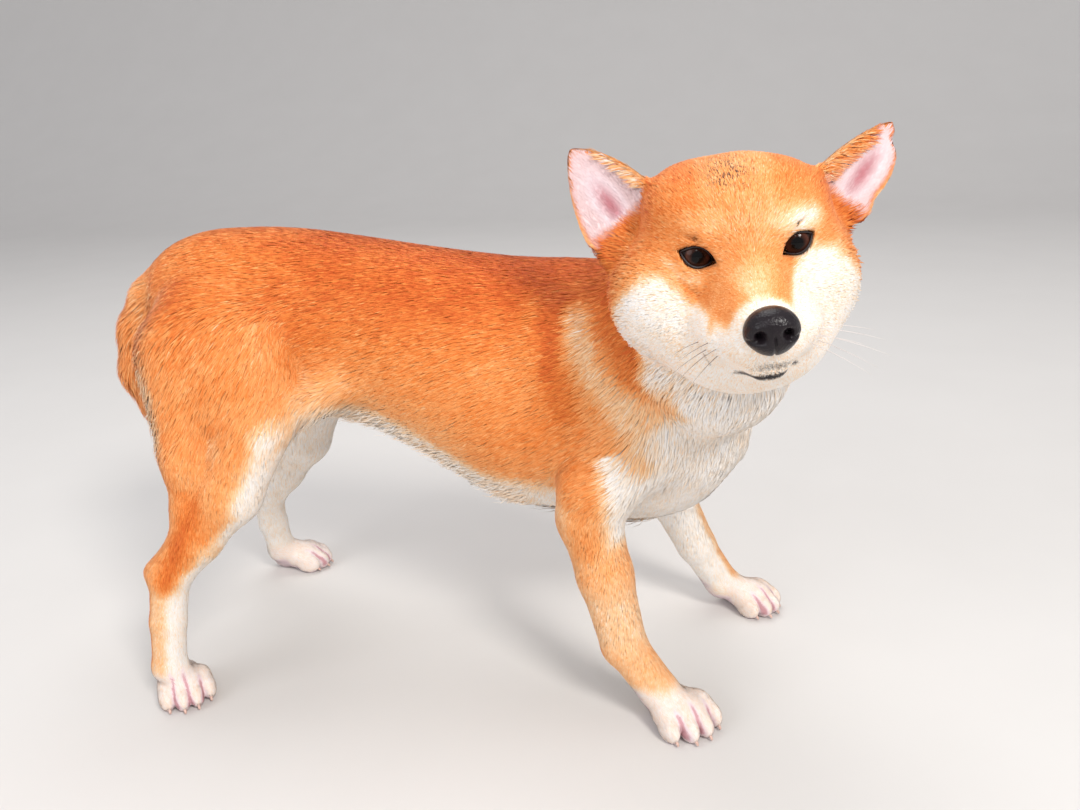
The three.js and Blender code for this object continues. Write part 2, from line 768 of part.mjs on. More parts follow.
function solidFromGeometry(geometry) {
  const position = geometry.getAttribute('position');
  const points = [];
  const known = new Map();
  const names = [];
  for (let i = 0; i < position.count; i += 1) {
    const p = [position.getX(i), position.getY(i), position.getZ(i)];
    const key = p.map((v) => Math.round(v * 1e4)).join();
    if (!known.has(key)) {
      known.set(key, points.length);
      points.push(p);
    }
    names.push(known.get(key));
  }
  const triangles = [];
  const { array } = geometry.index;
  for (let i = 0; i < array.length; i += 3) {
    const face = [names[array[i]], names[array[i + 1]], names[array[i + 2]]];
    if (new Set(face).size === 3) triangles.push(face);
  }
  return solidOf({ points, triangles });
}

// A cutting plane keeps what lies on the side that it faces
const plane = (at, facing) => ({ at, facing: unit(facing) });
const turned = ({ at, facing }) => ({ at, facing: times(facing, -1) });

function keep(solid, planes, inset = GAP / 2) {
  return planes.reduce((rest, { at, facing }) => rest.trimByPlane(facing, dot(at, facing) + inset), solid);
}

function block(planes, grow) {
  return keep(solidFromGeometry(new THREE.BoxGeometry(1600, 1600, 1600)), planes, -grow);
}

function largest(solid) {
  const pieces = solid.decompose();
  return pieces.reduce((best, piece) => (piece.volume() > best.volume() ? piece : best));
}

function geometryOf(solid) {
  const { points, triangles } = thinned(meshFrom(largest(solid)), 0, 0.05);
  const geometry = new THREE.BufferGeometry();
  geometry.setAttribute('position', new THREE.Float32BufferAttribute(points.flat(), 3));
  geometry.setIndex(triangles.flat());
  geometry.computeVertexNormals();
  return geometry;
}

// The cuts that part the dog

const side = { right: -1, left: 1 };
const COLLAR = plane([230, -62, 340], [0.34, -0.75, 0.56]);
const NECK_ROOT = plane([185, -10, 300], [0.62, -0.2, 0.76]);
const WAIST = plane([-20, 0, 0], [1, 0, 0]);
const TAIL_ROOT = plane([-259, 0, 0], [-1, 0, 0]);
const TAIL_MIDDLE = plane(TAIL[2][0], sub(TAIL[3][0], TAIL[1][0]));
const TAIL_TIP = plane(TAIL[4][0], sub(TAIL[5][0], TAIL[3][0]));
const FLOOR = plane([0, 0, 0], [0, 0, 1]);

// Where a leg leaves the trunk: planes that face into the leg
function foreLegPlanes(which) {
  const { shoulder, elbow } = JOINTS[which];
  const s = side[which];
  return [
    plane([0, 36 * s, 0], [0, s, 0]),
    plane(add(shoulder, [0, 0, 6]), [-0.25, 0, -0.97]),
    plane(add(elbow, [-34, 0, 22]), [0.86, 0, -0.5]),
  ];
}

function hindLegPlanes(which) {
  const { hip, stifle } = JOINTS[which];
  const s = side[which];
  return [
    plane([0, 18 * s, 0], [0, s, 0]),
    plane(add(hip, [0, 0, 22]), [0, 0.2 * s, -0.98]),
    plane(add(stifle, [58, 0, 10]), [-0.86, 0, -0.5]),
    turned(TAIL_ROOT),
  ];
}

function jointPlane(at, from, to) {
  return plane(at, sub(to, from));
}

const body = (x, y, z) => distanceTo(coatForms, x, y, z);
const core = (x, y, z) => distanceTo(coreForms, x, y, z);

// The neck's core sinks under the ruff, and comes back up to the faces where the neck meets head and chest
const RUFF = { depth: 7, fade: 18 };

function neckCore(x, y, z) {
  const beyond = ({ at, facing }) => Math.abs(dot(sub([x, y, z], at), facing));
  const inward = Math.min(beyond(NECK_ROOT), beyond(COLLAR));
  return body(x, y, z) + RUFF.depth * ease(inward / RUFF.fade);
}

function fleshNode(name, low, high, cell, count, planes, { field = body, without = [], tufts = [] } = {}) {
  const flesh = solidOf(thinned(meshOf(field, low, high, cell), count));
  const whole = wasm.Manifold.union([flesh, ...tufts]);
  const solid = without.reduce((rest, cutter) => rest.subtract(cutter), keep(whole, planes));
  return { name, solid };
}

// A closed form through rings of points, which ends in a point where the last ring has only one
function loft(rings) {
  const sides = rings[0].length;
  const points = rings.flat();
  const triangles = [];
  rings.slice(1).forEach((next, i) => {
    for (let k = 0; k < sides; k += 1) {
      const [a, b] = [i * sides + k, i * sides + (k + 1) % sides];
      if (next.length === 1) triangles.push([a, b, points.length - 1]);
      else triangles.push([a, b, a + sides], [b, b + sides, a + sides]);
    }
  });
  const end = points.length - sides;
  for (let k = 1; k < sides - 1; k += 1) {
    triangles.push([0, k + 1, k]);
    if (rings[rings.length - 1].length > 1) triangles.push([end, end + k, end + k + 1]);
  }
  const solid = solidOf({ points, triangles });
  return solid.volume() > 0 ? solid : solidOf({ points, triangles: triangles.map(([a, b, c]) => [a, c, b]) });
}

// Claws: a curved cone on each toe
const CLAW = { length: 10.5, radius: 2.6, tip: 0.9, sink: 6, lift: 7.5, drop: 5, sides: 5 };

function clawSolid(paw, toe) {
  const { spot } = pawFrame(paw);
  const { forward, across } = toePlace(paw, toe);
  const start = forward + 10 - CLAW.sink;
  return loft([0, 0.5, 1].map((t) => {
    const radius = mix(CLAW.radius, CLAW.tip, t);
    return Array.from({ length: CLAW.sides }, (_, k) => {
      const angle = k * 2 * Math.PI / CLAW.sides;
      const up = CLAW.lift - CLAW.drop * t * t + radius * Math.sin(angle);
      return spot(start + CLAW.length * t, across + 0.8 * radius * Math.cos(angle), up);
    });
  }));
}

// Locks: flat tapered tufts that follow the surface they grow from, their roots sunk in it

const LOCK = { stops: [0, 0.35, 0.7], widths: [0.55, 1, 0.7], sink: 5, climb: [0, 0.55, 0.9, 1] };

function seeded(seed) {
  let state = seed;
  return (low, high) => {
    state = (state * 1664525 + 1013904223) % 4294967296;
    return mix(low, high, state / 4294967296);
  };
}

function outwardAt(field, p) {
  const slope = [0, 1, 2].map((axis) => {
    const step = [0, 0, 0];
    step[axis] = 0.5;
    return field(...add(p, step)) - field(...sub(p, step));
  });
  return unit(slope);
}

function surfaceFrom(field, inside, towards) {
  let near = 0;
  let far = 130;
  for (let i = 0; i < 20; i += 1) {
    const middle = (near + far) / 2;
    if (field(...add(inside, times(towards, middle))) < 0) near = middle;
    else far = middle;
  }
  return add(inside, times(towards, near));
}

function lock(field, root, lie, { length, width, thick, rise }) {
  let at = root;
  let reached = 0;
  const rings = [...LOCK.stops, 1].map((t, i) => {
    let out = outwardAt(field, at);
    const along = unit(sub(lie, times(out, dot(lie, out))));
    at = add(at, times(along, length * (t - reached)));
    reached = t;
    out = outwardAt(field, at);
    at = sub(at, times(out, field(...at)));
    const centre = add(at, times(out, t === 0 ? -LOCK.sink : rise * LOCK.climb[i]));
    if (t === 1) return [centre];
    const across = times(unit(cross(out, along)), width / 2 * LOCK.widths[i]);
    const up = times(out, thick / 2 * LOCK.widths[i]);
    return [add(centre, across), add(centre, up), sub(centre, across), sub(centre, up)];
  });
  return loft(rings);
}

const TAIL_LOCKS = { rows: 7, around: 6, length: 56, width: 23, thick: 5, seed: 11 };

function tailLocks() {
  const random = seeded(TAIL_LOCKS.seed);
  const slim = (x, y, z) => distanceTo(tailCoreForms, x, y, z);
  const last = TAIL.length - 1;
  const locks = [];
  for (let row = 0; row < TAIL_LOCKS.rows; row += 1) {
    const spot = 0.35 + (last - 0.75) * row / (TAIL_LOCKS.rows - 1);
    const piece = Math.min(Math.floor(spot), last - 1);
    const [from, to] = [TAIL[piece], TAIL[piece + 1]];
    const centre = between(from[0], to[0], spot - piece);
    const thickness = mix(from[1], to[1], spot - piece);
    const along = unit(sub(to[0], from[0]));
    const rear = unit(cross(along, [0, 1, 0]));
    const beside = cross(along, rear);
    const shrink = mix(1, 0.62, ease((spot - 3) / 2));
    for (let k = 0; k < TAIL_LOCKS.around; k += 1) {
      const angle = (k + (row % 2) / 2 + random(-0.12, 0.12)) * 2 * Math.PI / TAIL_LOCKS.around;
      const outward = add(times(rear, Math.cos(angle)), times(beside, Math.sin(angle)));
      const root = surfaceFrom(slim, centre, outward);
      locks.push(lock(slim, root, along, {
        length: TAIL_LOCKS.length * shrink * random(0.85, 1.1),
        width: TAIL_LOCKS.width * shrink * random(0.85, 1.1),
        thick: TAIL_LOCKS.thick,
        rise: thickness * (1 - TAIL_CORE) * random(0.7, 1.05),
      }));
    }
  }
  return locks;
}

const BREECHES = {
  rows: 5, spread: [-0.8, 0, 0.8], length: 42, width: 22, thick: 5, rise: 6, seed: 23,
};

function breechesLocks(which) {
  const random = seeded(BREECHES.seed + side[which]);
  const { hip, stifle, hock } = JOINTS[which];
  const top = add(hip, [0, side[which] * 22, -20]);
  const bottom = add(between(stifle, hock, 0.35), [-26, 0, 8]);
  const locks = [];
  for (let row = 0; row < BREECHES.rows; row += 1) {
    const inside = between(top, bottom, row / (BREECHES.rows - 1));
    for (const turn of BREECHES.spread) {
      const angle = turn + (row % 2) * 0.35 - 0.17 + random(-0.08, 0.08);
      const backward = [-Math.cos(angle), Math.sin(angle), 0];
      const root = surfaceFrom(core, inside, backward);
      locks.push(lock(core, root, add([0, 0, -1], times(backward, 0.25)), {
        length: BREECHES.length * random(0.85, 1.15),
        width: BREECHES.width * random(0.85, 1.1),
        thick: BREECHES.thick,
        rise: BREECHES.rise * random(0.8, 1.2),
      }));
    }
  }
  return locks;
}

const RUFF_LOCKS = { rows: [0.72, 0.42, 0.12], around: 12, length: 44, width: 27, thick: 5, seed: 5 };

function ruffLocks() {
  const random = seeded(RUFF_LOCKS.seed);
  const axis = unit(sub(COLLAR.at, NECK_ROOT.at));
  const beside = unit(cross(axis, [0, 0, 1]));
  const above = cross(beside, axis);
  const locks = [];
  RUFF_LOCKS.rows.forEach((place, row) => {
    const centre = between(NECK_ROOT.at, COLLAR.at, place);
    for (let k = 0; k < RUFF_LOCKS.around; k += 1) {
      const angle = (k + (row % 2) / 2 + random(-0.1, 0.1)) * 2 * Math.PI / RUFF_LOCKS.around;
      const outward = add(times(above, Math.cos(angle)), times(beside, Math.sin(angle)));
      const root = surfaceFrom(neckCore, centre, outward);
      const lie = add(times(axis, -1), [0, 0, -0.9]);
      locks.push(lock(neckCore, root, lie, {
        length: RUFF_LOCKS.length * random(0.85, 1.1),
        width: RUFF_LOCKS.width * random(0.85, 1.1),
        thick: RUFF_LOCKS.thick,
        rise: RUFF.depth * random(0.75, 1.05),
      }));
    }
  });
  return locks;
}

const BIB = {
  heights: [292, 262, 232, 204],
  turns: [-0.75, -0.25, 0.25, 0.75],
  length: 40,
  width: 24,
  thick: 4,
  rise: 2,
  seed: 3,
};

function bibLocks() {
  const random = seeded(BIB.seed);
  const locks = [];
  BIB.heights.forEach((z, row) => {
    BIB.turns.forEach((turn) => {
      const angle = turn + (row % 2) * 0.25 - 0.35 + random(-0.06, 0.06);
      const root = surfaceFrom(body, [180, -8, z], [Math.cos(angle), Math.sin(angle), 0]);
      locks.push(lock(body, root, [-0.1, 0, -1], {
        length: BIB.length * random(0.85, 1.1),
        width: BIB.width * random(0.85, 1.1),
        thick: BIB.thick,
        rise: BIB.rise * random(0.8, 1.2),
      }));
    });
  });
  return locks;
}

function legNodes(which) {
  const j = JOINTS[which];
  const s = side[which];
  const elbowCut = jointPlane(add(j.elbow, [0, 0, -4]), j.elbow, j.wrist);
  const wristCut = jointPlane(add(j.wrist, [2, 0, -8]), j.elbow, j.foreToe);
  const kneeCut = plane(between(j.stifle, j.hock, 0.2), [-0.25, 0, -1]);
  const hockCut = plane(add(j.hock, [0, 0, -14]), sub(j.hindToe, j.hock));
  const foreBox = (low, high) => [
    [j.elbow[0] - 60, s > 0 ? 20 : -150, low],
    [j.foreToe[0] + 75, s > 0 ? 150 : -20, high],
  ];
  const hindBox = (low, high, inner = 8) => [
    [-292, s > 0 ? inner : -175, low],
    [-50, s > 0 ? 175 : -inner, high],
  ];
  const fringe = breechesLocks(which);
  const claws = (paw) => TOES.map((toe) => clawSolid(paw, toe));
  const node = (part, box, cell, count, planes, tufts = []) => (
    fleshNode(`${part}_${which}`, ...box, cell, count, planes, { tufts })
  );
  return [
    node('upper_arm', foreBox(140, 262), 5, 300, [...foreLegPlanes(which), turned(elbowCut)]),
    node('forearm', foreBox(34, 190), 4, 300, [...foreLegPlanes(which), elbowCut, turned(wristCut)]),
    node('fore_paw', foreBox(-4, 74), 2.5, 440, [wristCut, FLOOR], claws(PAWS[which].fore)),
    node('thigh', hindBox(170, 352), 5.5, 420, [...hindLegPlanes(which), turned(kneeCut)], fringe),
    node('shank', hindBox(70, 262, 40), 4, 340, [kneeCut, turned(hockCut)], fringe),
    node('hind_paw', hindBox(-4, 130), 2.5, 460, [hockCut, FLOOR], claws(PAWS[which].hind)),
  ];
}

function trunkNodes() {
  const foreBlocks = ['right', 'left'].map((which) => block(foreLegPlanes(which), GAP / 2));
  const hindBlocks = ['right', 'left'].map((which) => block(hindLegPlanes(which), GAP / 2));
  const brush = tailLocks();
  const tailNode = (name, low, high, count, planes) => (
    fleshNode(name, [-350, -50, low], [-240, 50, high], 4, count, planes, { field: core, tufts: brush })
  );
  return [
    fleshNode('neck', [80, -190, 180], [330, 90, 440], 6, 620, [NECK_ROOT, turned(COLLAR)], {
      field: neckCore,
      tufts: ruffLocks(),
    }),
    fleshNode('chest', [-30, -130, 120], [300, 130, 400], 6, 1000, [WAIST, turned(NECK_ROOT)], {
      without: foreBlocks,
      tufts: bibLocks(),
    }),
    fleshNode('loin', [-300, -130, 180], [-10, 130, 400], 6, 900, [turned(WAIST), turned(TAIL_ROOT)], {
      without: hindBlocks,
    }),
    tailNode('tail_root', 270, 380, 240, [TAIL_ROOT, turned(TAIL_MIDDLE)]),
    tailNode('tail_middle', 200, 320, 200, [TAIL_ROOT, TAIL_MIDDLE, turned(TAIL_TIP)]),
    tailNode('tail_tip', 165, 250, 120, [TAIL_TIP]),
  ];
}

// The head is meshed in its own frame and placed with its group

const NOSE_CUT = plane([102.5, 0, 0], [1, 0, 0]);
const NOSE_BOX = [
  NOSE_CUT,
  plane([0, -9, -43], [0, 0.35, 0.94]),
  plane([0, 0, -43], [0, 0, 1]),
  plane([0, 0, -12], [0, 0, -1]),
];

function earCut(ear) {
  const { up, out } = earFrame(ear);
  const facing = unit(add(times(up, 0.94), times(out, 0.33)));
  return plane(add(ear.root, times(facing, 3)), facing);
}

function intoHead({ at, facing }) {
  const back = headMatrix.clone().invert();
  const place = new THREE.Vector3(...at).applyMatrix4(back).toArray();
  const towards = new THREE.Vector3(...facing).transformDirection(back).toArray();
  return plane(place, towards);
}

function headNodes() {
  const collar = intoHead(COLLAR);
  const point = new THREE.Vector3();
  const face = (x, y, z) => {
    point.set(x, y, z).applyMatrix4(headMatrix);
    let nearest = body(point.x, point.y, point.z);
    for (const shape of faceForms) {
      const { low, high } = shape;
      if (x < low[0] || y < low[1] || z < low[2] || x > high[0] || y > high[1] || z > high[2]) continue;
      const here = shape.distance(x, y, z);
      nearest = shape.carve ? -softLeast(-nearest, here, shape.soft) : softLeast(nearest, here, shape.soft);
    }
    return nearest;
  };
  const noseBlock = block(NOSE_BOX, GAP / 2);
  const earCuts = { right: earCut(EARS.right), left: earCut(EARS.left) };
  const earBlocks = ['right', 'left'].map((which) => block([earCuts[which]], GAP / 2));
  const skull = thinned(meshOf(face, [-95, -100, -125], [128, 100, 80], 2.4), 2900);
  const nose = thinned(meshOf(face, [98, -22, -52], [126, 22, -8], 1.3), 520);
  const ears = ['right', 'left'].map((which) => {
    const { root, tip } = EARS[which];
    const low = root.map((v, i) => Math.min(v, tip[i]) - 34);
    const high = root.map((v, i) => Math.max(v, tip[i]) + 34);
    const ear = thinned(meshOf(face, low, high, 1.5), 520);
    return { name: `ear_${which}`, solid: keep(solidOf(ear), [earCuts[which]]) };
  });
  const eyeball = (which, radius) => {
    const ball = new THREE.SphereGeometry(radius, 14, 10).toNonIndexed();
    ball.setIndex([...Array(ball.getAttribute('position').count).keys()]);
    ball.translate(EYE.at[0], EYE.at[1] * side[which], EYE.at[2]);
    return solidFromGeometry(ball);
  };
  const eyes = ['right', 'left'].map((which) => ({ name: `eye_${which}`, solid: eyeball(which, EYE.radius) }));
  const sockets = ['right', 'left'].map((which) => eyeball(which, EYE.radius + GAP));
  const cutters = [noseBlock, ...earBlocks, ...sockets];
  const head = cutters.reduce((rest, cutter) => rest.subtract(cutter), keep(solidOf(skull), [collar]));
  return [
    { name: 'head', solid: head },
    { name: 'nose', solid: keep(solidOf(nose), NOSE_BOX) },
    ...ears,
    ...eyes,
  ];
}

// Materials and assembly

const FINISH = {
  red: { color: COLOURS.red, roughness: 0.8 },
  sand: { color: COLOURS.sand, roughness: 0.8 },
  cream: { color: COLOURS.cream, roughness: 0.8 },
  black: { color: COLOURS.black, roughness: 0.35 },
  eye: { color: COLOURS.eye, roughness: 0.08 },
};

const FINISH_OF = [
  [/^eye/, 'eye'],
  [/^nose/, 'black'],
  [/_paw_/, 'cream'],
  [/^(forearm|shank)/, 'sand'],
  [/^./, 'red'],
];

function meshFor({ name, solid }) {
  const [, finish] = FINISH_OF.find(([pattern]) => pattern.test(name));
  const material = new THREE.MeshStandardMaterial({ ...FINISH[finish], metalness: 0 });
  const mesh = new THREE.Mesh(geometryOf(solid), material);
  mesh.name = name;
  return mesh;
}

const dog = new THREE.Group();
const head = new THREE.Group();
head.applyMatrix4(headMatrix);
headNodes().forEach((node) => head.add(meshFor(node)));
dog.add(head);
[...trunkNodes(), ...legNodes('right'), ...legNodes('left')].forEach((node) => dog.add(meshFor(node)));

// The model's origin is the middle of its footprint, on the floor
dog.updateMatrixWorld(true);
const box = new THREE.Box3().setFromObject(dog, true);
dog.position.set(-(box.min.x + box.max.x) / 2, -(box.min.y + box.max.y) / 2, -box.min.z);

export default dog;
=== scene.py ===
# A shiba inu standing with its head turned to its right, life size: skin, coat, eyes, nose and claws.
# Forms are worked out in millimetres in the dog's own frame,
# and the meshes are moved onto the frame's solids.

import math

import bpy
import numpy as np
from mathutils import Matrix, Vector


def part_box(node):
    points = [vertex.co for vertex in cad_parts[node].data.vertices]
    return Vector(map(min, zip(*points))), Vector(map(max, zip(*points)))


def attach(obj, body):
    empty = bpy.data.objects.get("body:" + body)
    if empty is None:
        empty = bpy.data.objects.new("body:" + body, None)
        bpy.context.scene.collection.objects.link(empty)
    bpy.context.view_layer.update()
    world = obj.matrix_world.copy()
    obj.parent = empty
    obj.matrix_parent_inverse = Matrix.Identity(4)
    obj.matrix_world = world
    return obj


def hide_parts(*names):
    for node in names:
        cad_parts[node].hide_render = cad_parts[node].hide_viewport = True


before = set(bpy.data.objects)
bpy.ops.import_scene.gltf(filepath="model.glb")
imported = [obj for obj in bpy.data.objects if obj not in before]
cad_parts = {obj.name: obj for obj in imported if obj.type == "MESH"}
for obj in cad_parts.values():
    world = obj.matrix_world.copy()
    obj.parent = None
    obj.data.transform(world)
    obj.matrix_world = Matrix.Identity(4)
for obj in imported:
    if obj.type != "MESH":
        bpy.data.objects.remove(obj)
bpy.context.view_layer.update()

# Driving dimensions, as in the solids

HEAD_AT = np.array([235.4, -117.7, 387.2])
HEAD_TURN = (-82.2, 0.9, 6.0)

JOINTS = {
    "right": {
        "blade": (100, -44, 300), "shoulder": (176, -52, 236), "elbow": (125, -76, 170),
        "wrist": (151, -86, 64), "fore_toe": (179, -90, 26), "hip": (-212, -44, 325),
        "stifle": (-146, -82, 240), "hock": (-226, -115, 118), "hind_toe": (-238, -122, 34),
    },
    "left": {
        "blade": (108, 44, 298), "shoulder": (173, 44, 234), "elbow": (158, 72, 164),
        "wrist": (200, 86, 68), "fore_toe": (224, 91, 27), "hip": (-212, 44, 325),
        "stifle": (-168, 80, 222), "hock": (-251, 98, 94), "hind_toe": (-252, 113, 25),
    },
}
SIDES = {"right": -1, "left": 1}

PAWS = {
    ("right", "fore"): {"at": (199, -97), "heading": (62, -78), "length": 57, "width": 60},
    ("right", "hind"): {"at": (-229, -119), "heading": (65, -76), "length": 54, "width": 51},
    ("left", "fore"): {"at": (253, 92), "heading": (78, -62), "length": 57, "width": 50},
    ("left", "hind"): {"at": (-229, 123), "heading": (100, 5), "length": 56, "width": 45},
}
TOES = (-1.5, -0.5, 0.5, 1.5)

# The trunk along x: height of the back, height of the belly and half its width
TRUNK = np.array([
    (-268, 354, 316, 18), (-250, 374, 284, 38), (-216, 387, 258, 55), (-176, 390, 244, 64),
    (-125, 388, 233, 62), (-75, 381, 224, 62), (-20, 372, 197, 69), (45, 363, 157, 75),
    (105, 357, 146, 74), (160, 342, 139, 64), (208, 306, 155, 46), (238, 262, 196, 18),
], float)

TAIL = (
    ((-250, 0, 343), 25), ((-273, 0, 327), 23), ((-288, 0, 298), 25),
    ((-293, 0, 262), 26), ((-284, 2, 228), 21), ((-270, 5, 198), 10),
)
TAIL_CORE = (0.84, 0.7, 0.64, 0.62, 0.6, 0.5)

EAR = {
    "half": 31, "root_thick": 7, "tip_thick": 3.2, "root_cup": 14, "tip_cup": 5, "bow": 1.7,
    "fullness": 0.75, "notch_at": 0.86, "notch_long": 0.05, "edge": 0.85, "soft": 9, "room": 40,
}
# Each ear's pink marks the middle of its deeper pink, which is partly painted shade in the ear's hollow
EARS = {
    "right": {
        "root": (-22, -68, 20), "tip": (-32, -100, 72), "outer": (-25, -88, -4),
        "inward": 31, "outward": 28, "bow": 1.7, "flare": 0, "notch": 0, "drop": 32,
        "pink": (-23, -81, 35), "band": 0.74, "band_tone": 0.7,
    },
    "left": {
        "root": (-20, 66, 15), "tip": (-30, 106, 58), "outer": (-25, 79, -9),
        "inward": 31, "outward": 26, "bow": 1.15, "flare": 0.9, "notch": 4, "drop": 15,
        "pink": (-23, 88, 31), "band": 0.52, "band_tone": 0.42,
    },
}
EYE = {
    "radius": 10.5, "at": (33, 29.5, 3.5), "lid": 2, "opening": (11.5, 6.6), "slant": 22,
    "hollow": 0.6, "steep": 0.7,
}
CHEEK_SHIFT = -6
NECK_ROOT = (120, 0, 283)
NECK_WAY = (205, -95, 47)
MOUTH = ((66, 37, -43), (86, 27, -50), (99, 14, -54), (105, 0, -53))
MOUTH_WIDTH = {"corner": 1.2, "middle": 2}

# Meshing

FINE = 1.4
COARSE = 2.6
PAW_STEP = 1.6
REACH = 12.0
FAR = 60.0
NEAR = 9.0
BLOCK = 4
CHUNK = 16384
SETTLE_ROUNDS = 2
NORMAL_STEP = 1.5
SPANS = (
    ((-332, 132, COARSE), (132, 345, FINE)),
    ((-250, -40, FINE), (-40, 160, COARSE)),
    ((-6, 48, PAW_STEP), (48, 285, COARSE), (285, 466, FINE)),
)

# The eight corners of a cell, as 0 or 1 along each axis
CORNERS = [[(corner >> axis) & 1 for axis in range(3)] for corner in range(8)]
TINY = 1e-6

# Small vector sums


def vec(*values):
    return np.array(values, float)


def unit(a):
    a = np.asarray(a, float)
    return a / np.maximum(np.linalg.norm(a, axis=-1, keepdims=True), 1e-9)


def mix(a, b, t):
    return a + (b - a) * t


def between(a, b, t):
    return mix(np.asarray(a, float), np.asarray(b, float), t)


def ease(value):
    t = np.clip(value, 0, 1)
    return t * t * (3 - 2 * t)


def rise(value, start, end):
    return ease((value - start) / (end - start))


def turn_matrix(yaw, pitch, roll):
    cz, sz = math.cos(math.radians(yaw)), math.sin(math.radians(yaw))
    cy, sy = math.cos(math.radians(pitch)), math.sin(math.radians(pitch))
    cx, sx = math.cos(math.radians(roll)), math.sin(math.radians(roll))
    about_z = np.array([[cz, -sz, 0], [sz, cz, 0], [0, 0, 1]])
    about_y = np.array([[cy, 0, sy], [0, 1, 0], [-sy, 0, cy]])
    about_x = np.array([[1, 0, 0], [0, cx, -sx], [0, sx, cx]])
    return about_z @ about_y @ about_x


HEAD_AXES = turn_matrix(*HEAD_TURN)


def to_head(points):
    return (points - HEAD_AT) @ HEAD_AXES


def from_head(points):
    return np.asarray(points) @ HEAD_AXES.T + HEAD_AT


# Soft forms: signed distances, negative inside, which melt into one another


def soft_least(a, b, soft):
    h = np.maximum(soft - np.abs(a - b), 0) / soft
    return np.minimum(a, b) - h * h * soft * 0.25


def form(distance, low, high, soft):
    margin = soft + REACH
    return {
        "distance": distance, "low": np.asarray(low, float) - margin,
        "high": np.asarray(high, float) + margin, "soft": soft, "carve": False,
    }


def round_distance(inner, slope, middle):
    """Distance from an egg's surface: inner is 1 on it, slope is how fast that grows."""
    return np.where(slope > TINY, inner * (inner - 1) / np.maximum(slope, TINY), middle)


def egg(at, radii, soft, axes=None):
    at = vec(*at)
    radii = vec(*radii)
    axes = np.eye(3) if axes is None else np.array(axes, float)

    def distance(p):
        local = (p - at) @ axes.T / radii
        inner = np.sqrt((local ** 2).sum(1))
        slope = np.sqrt(((local / radii) ** 2).sum(1))
        return round_distance(inner, slope, -radii.min())

    return form(distance, at - radii.max(), at + radii.max(), soft)


def taper(start, end, r0, r1, soft):
    start = vec(*start)
    end = vec(*end)
    along = end - start
    length = along @ along
    reach = max(r0, r1)

    def distance(p):
        q = p - start
        t = np.clip(q @ along / length, 0, 1)
        return np.sqrt(((q - t[:, None] * along) ** 2).sum(1)) - mix(r0, r1, t)

    return form(distance, np.minimum(start, end) - reach, np.maximum(start, end) + reach, soft)


def chain(stops, soft):
    return [taper(a[0], b[0], a[1], b[1], soft) for a, b in zip(stops, stops[1:])]


def carved(shape, soft):
    return {**shape, "soft": soft, "carve": True}


def in_head(shape):
    def distance(p):
        return shape["distance"](to_head(p))

    ends = (shape["low"], shape["high"])
    placed = from_head([[ends[bit][axis] for axis, bit in enumerate(bits)] for bits in CORNERS])
    return {**shape, "distance": distance, "low": placed.min(0), "high": placed.max(0)}


def measure(forms, points, start=None):
    """The distance of points from the melted forms, each form asked only where it matters."""
    result = np.full(len(points), FAR) if start is None else start.copy()
    for first in range(0, len(points), CHUNK):
        part = points[first:first + CHUNK]
        nearest = result[first:first + CHUNK]
        low, high = part.min(0), part.max(0)
        for shape in forms:
            if (shape["low"] > high).any() or (shape["high"] < low).any():
                continue
            inside = ((part > shape["low"]) & (part < shape["high"])).all(1)
            if not inside.any():
                continue
            here = shape["distance"](part[inside])
            if shape["carve"]:
                nearest[inside] = -soft_least(-nearest[inside], here, shape["soft"])
            else:
                nearest[inside] = soft_least(nearest[inside], here, shape["soft"])
    return result


# The trunk, head, legs and tail as forms


def smooth_at(stations, x):
    """The stations' values at x, along a smooth curve through them."""
    xs = stations[:, 0]
    last = len(xs) - 1
    i = np.clip(np.searchsorted(xs, x) - 1, 0, last - 1)
    before, after_next = np.maximum(i - 1, 0), np.minimum(i + 2, last)
    span = xs[i + 1] - xs[i]
    t = np.clip((x - xs[i]) / span, 0, 1)[:, None]
    a, b, c, d = stations[before], stations[i], stations[i + 1], stations[after_next]
    slope_b = (c - a) / (c[:, :1] - a[:, :1]) * span[:, None]
    slope_c = (d - b) / (d[:, :1] - b[:, :1]) * span[:, None]
    t2, t3 = t * t, t * t * t
    return (
        (2 * t3 - 3 * t2 + 1) * b + (t3 - 2 * t2 + t) * slope_b
        + (3 * t2 - 2 * t3) * c + (t3 - t2) * slope_c
    )


def trunk_form():
    start, end = TRUNK[0, 0], TRUNK[-1, 0]

    def distance(p):
        at = np.clip(p[:, 0], start, end)
        _, back, belly, half = smooth_at(TRUNK, at).T
        tall = (back - belly) / 2
        up = p[:, 2] - (back + belly) / 2
        inner = np.hypot(p[:, 1] / half, up / tall)
        slope = np.hypot(p[:, 1] / half ** 2, up / tall ** 2)
        side = round_distance(inner, slope, -np.minimum(half, tall))
        past = np.abs(p[:, 0] - at)
        return np.where(past > 0, np.hypot(np.maximum(side, 0), past), side)

    return form(distance, (start, -78, 145), (end, 78, 392), 20)


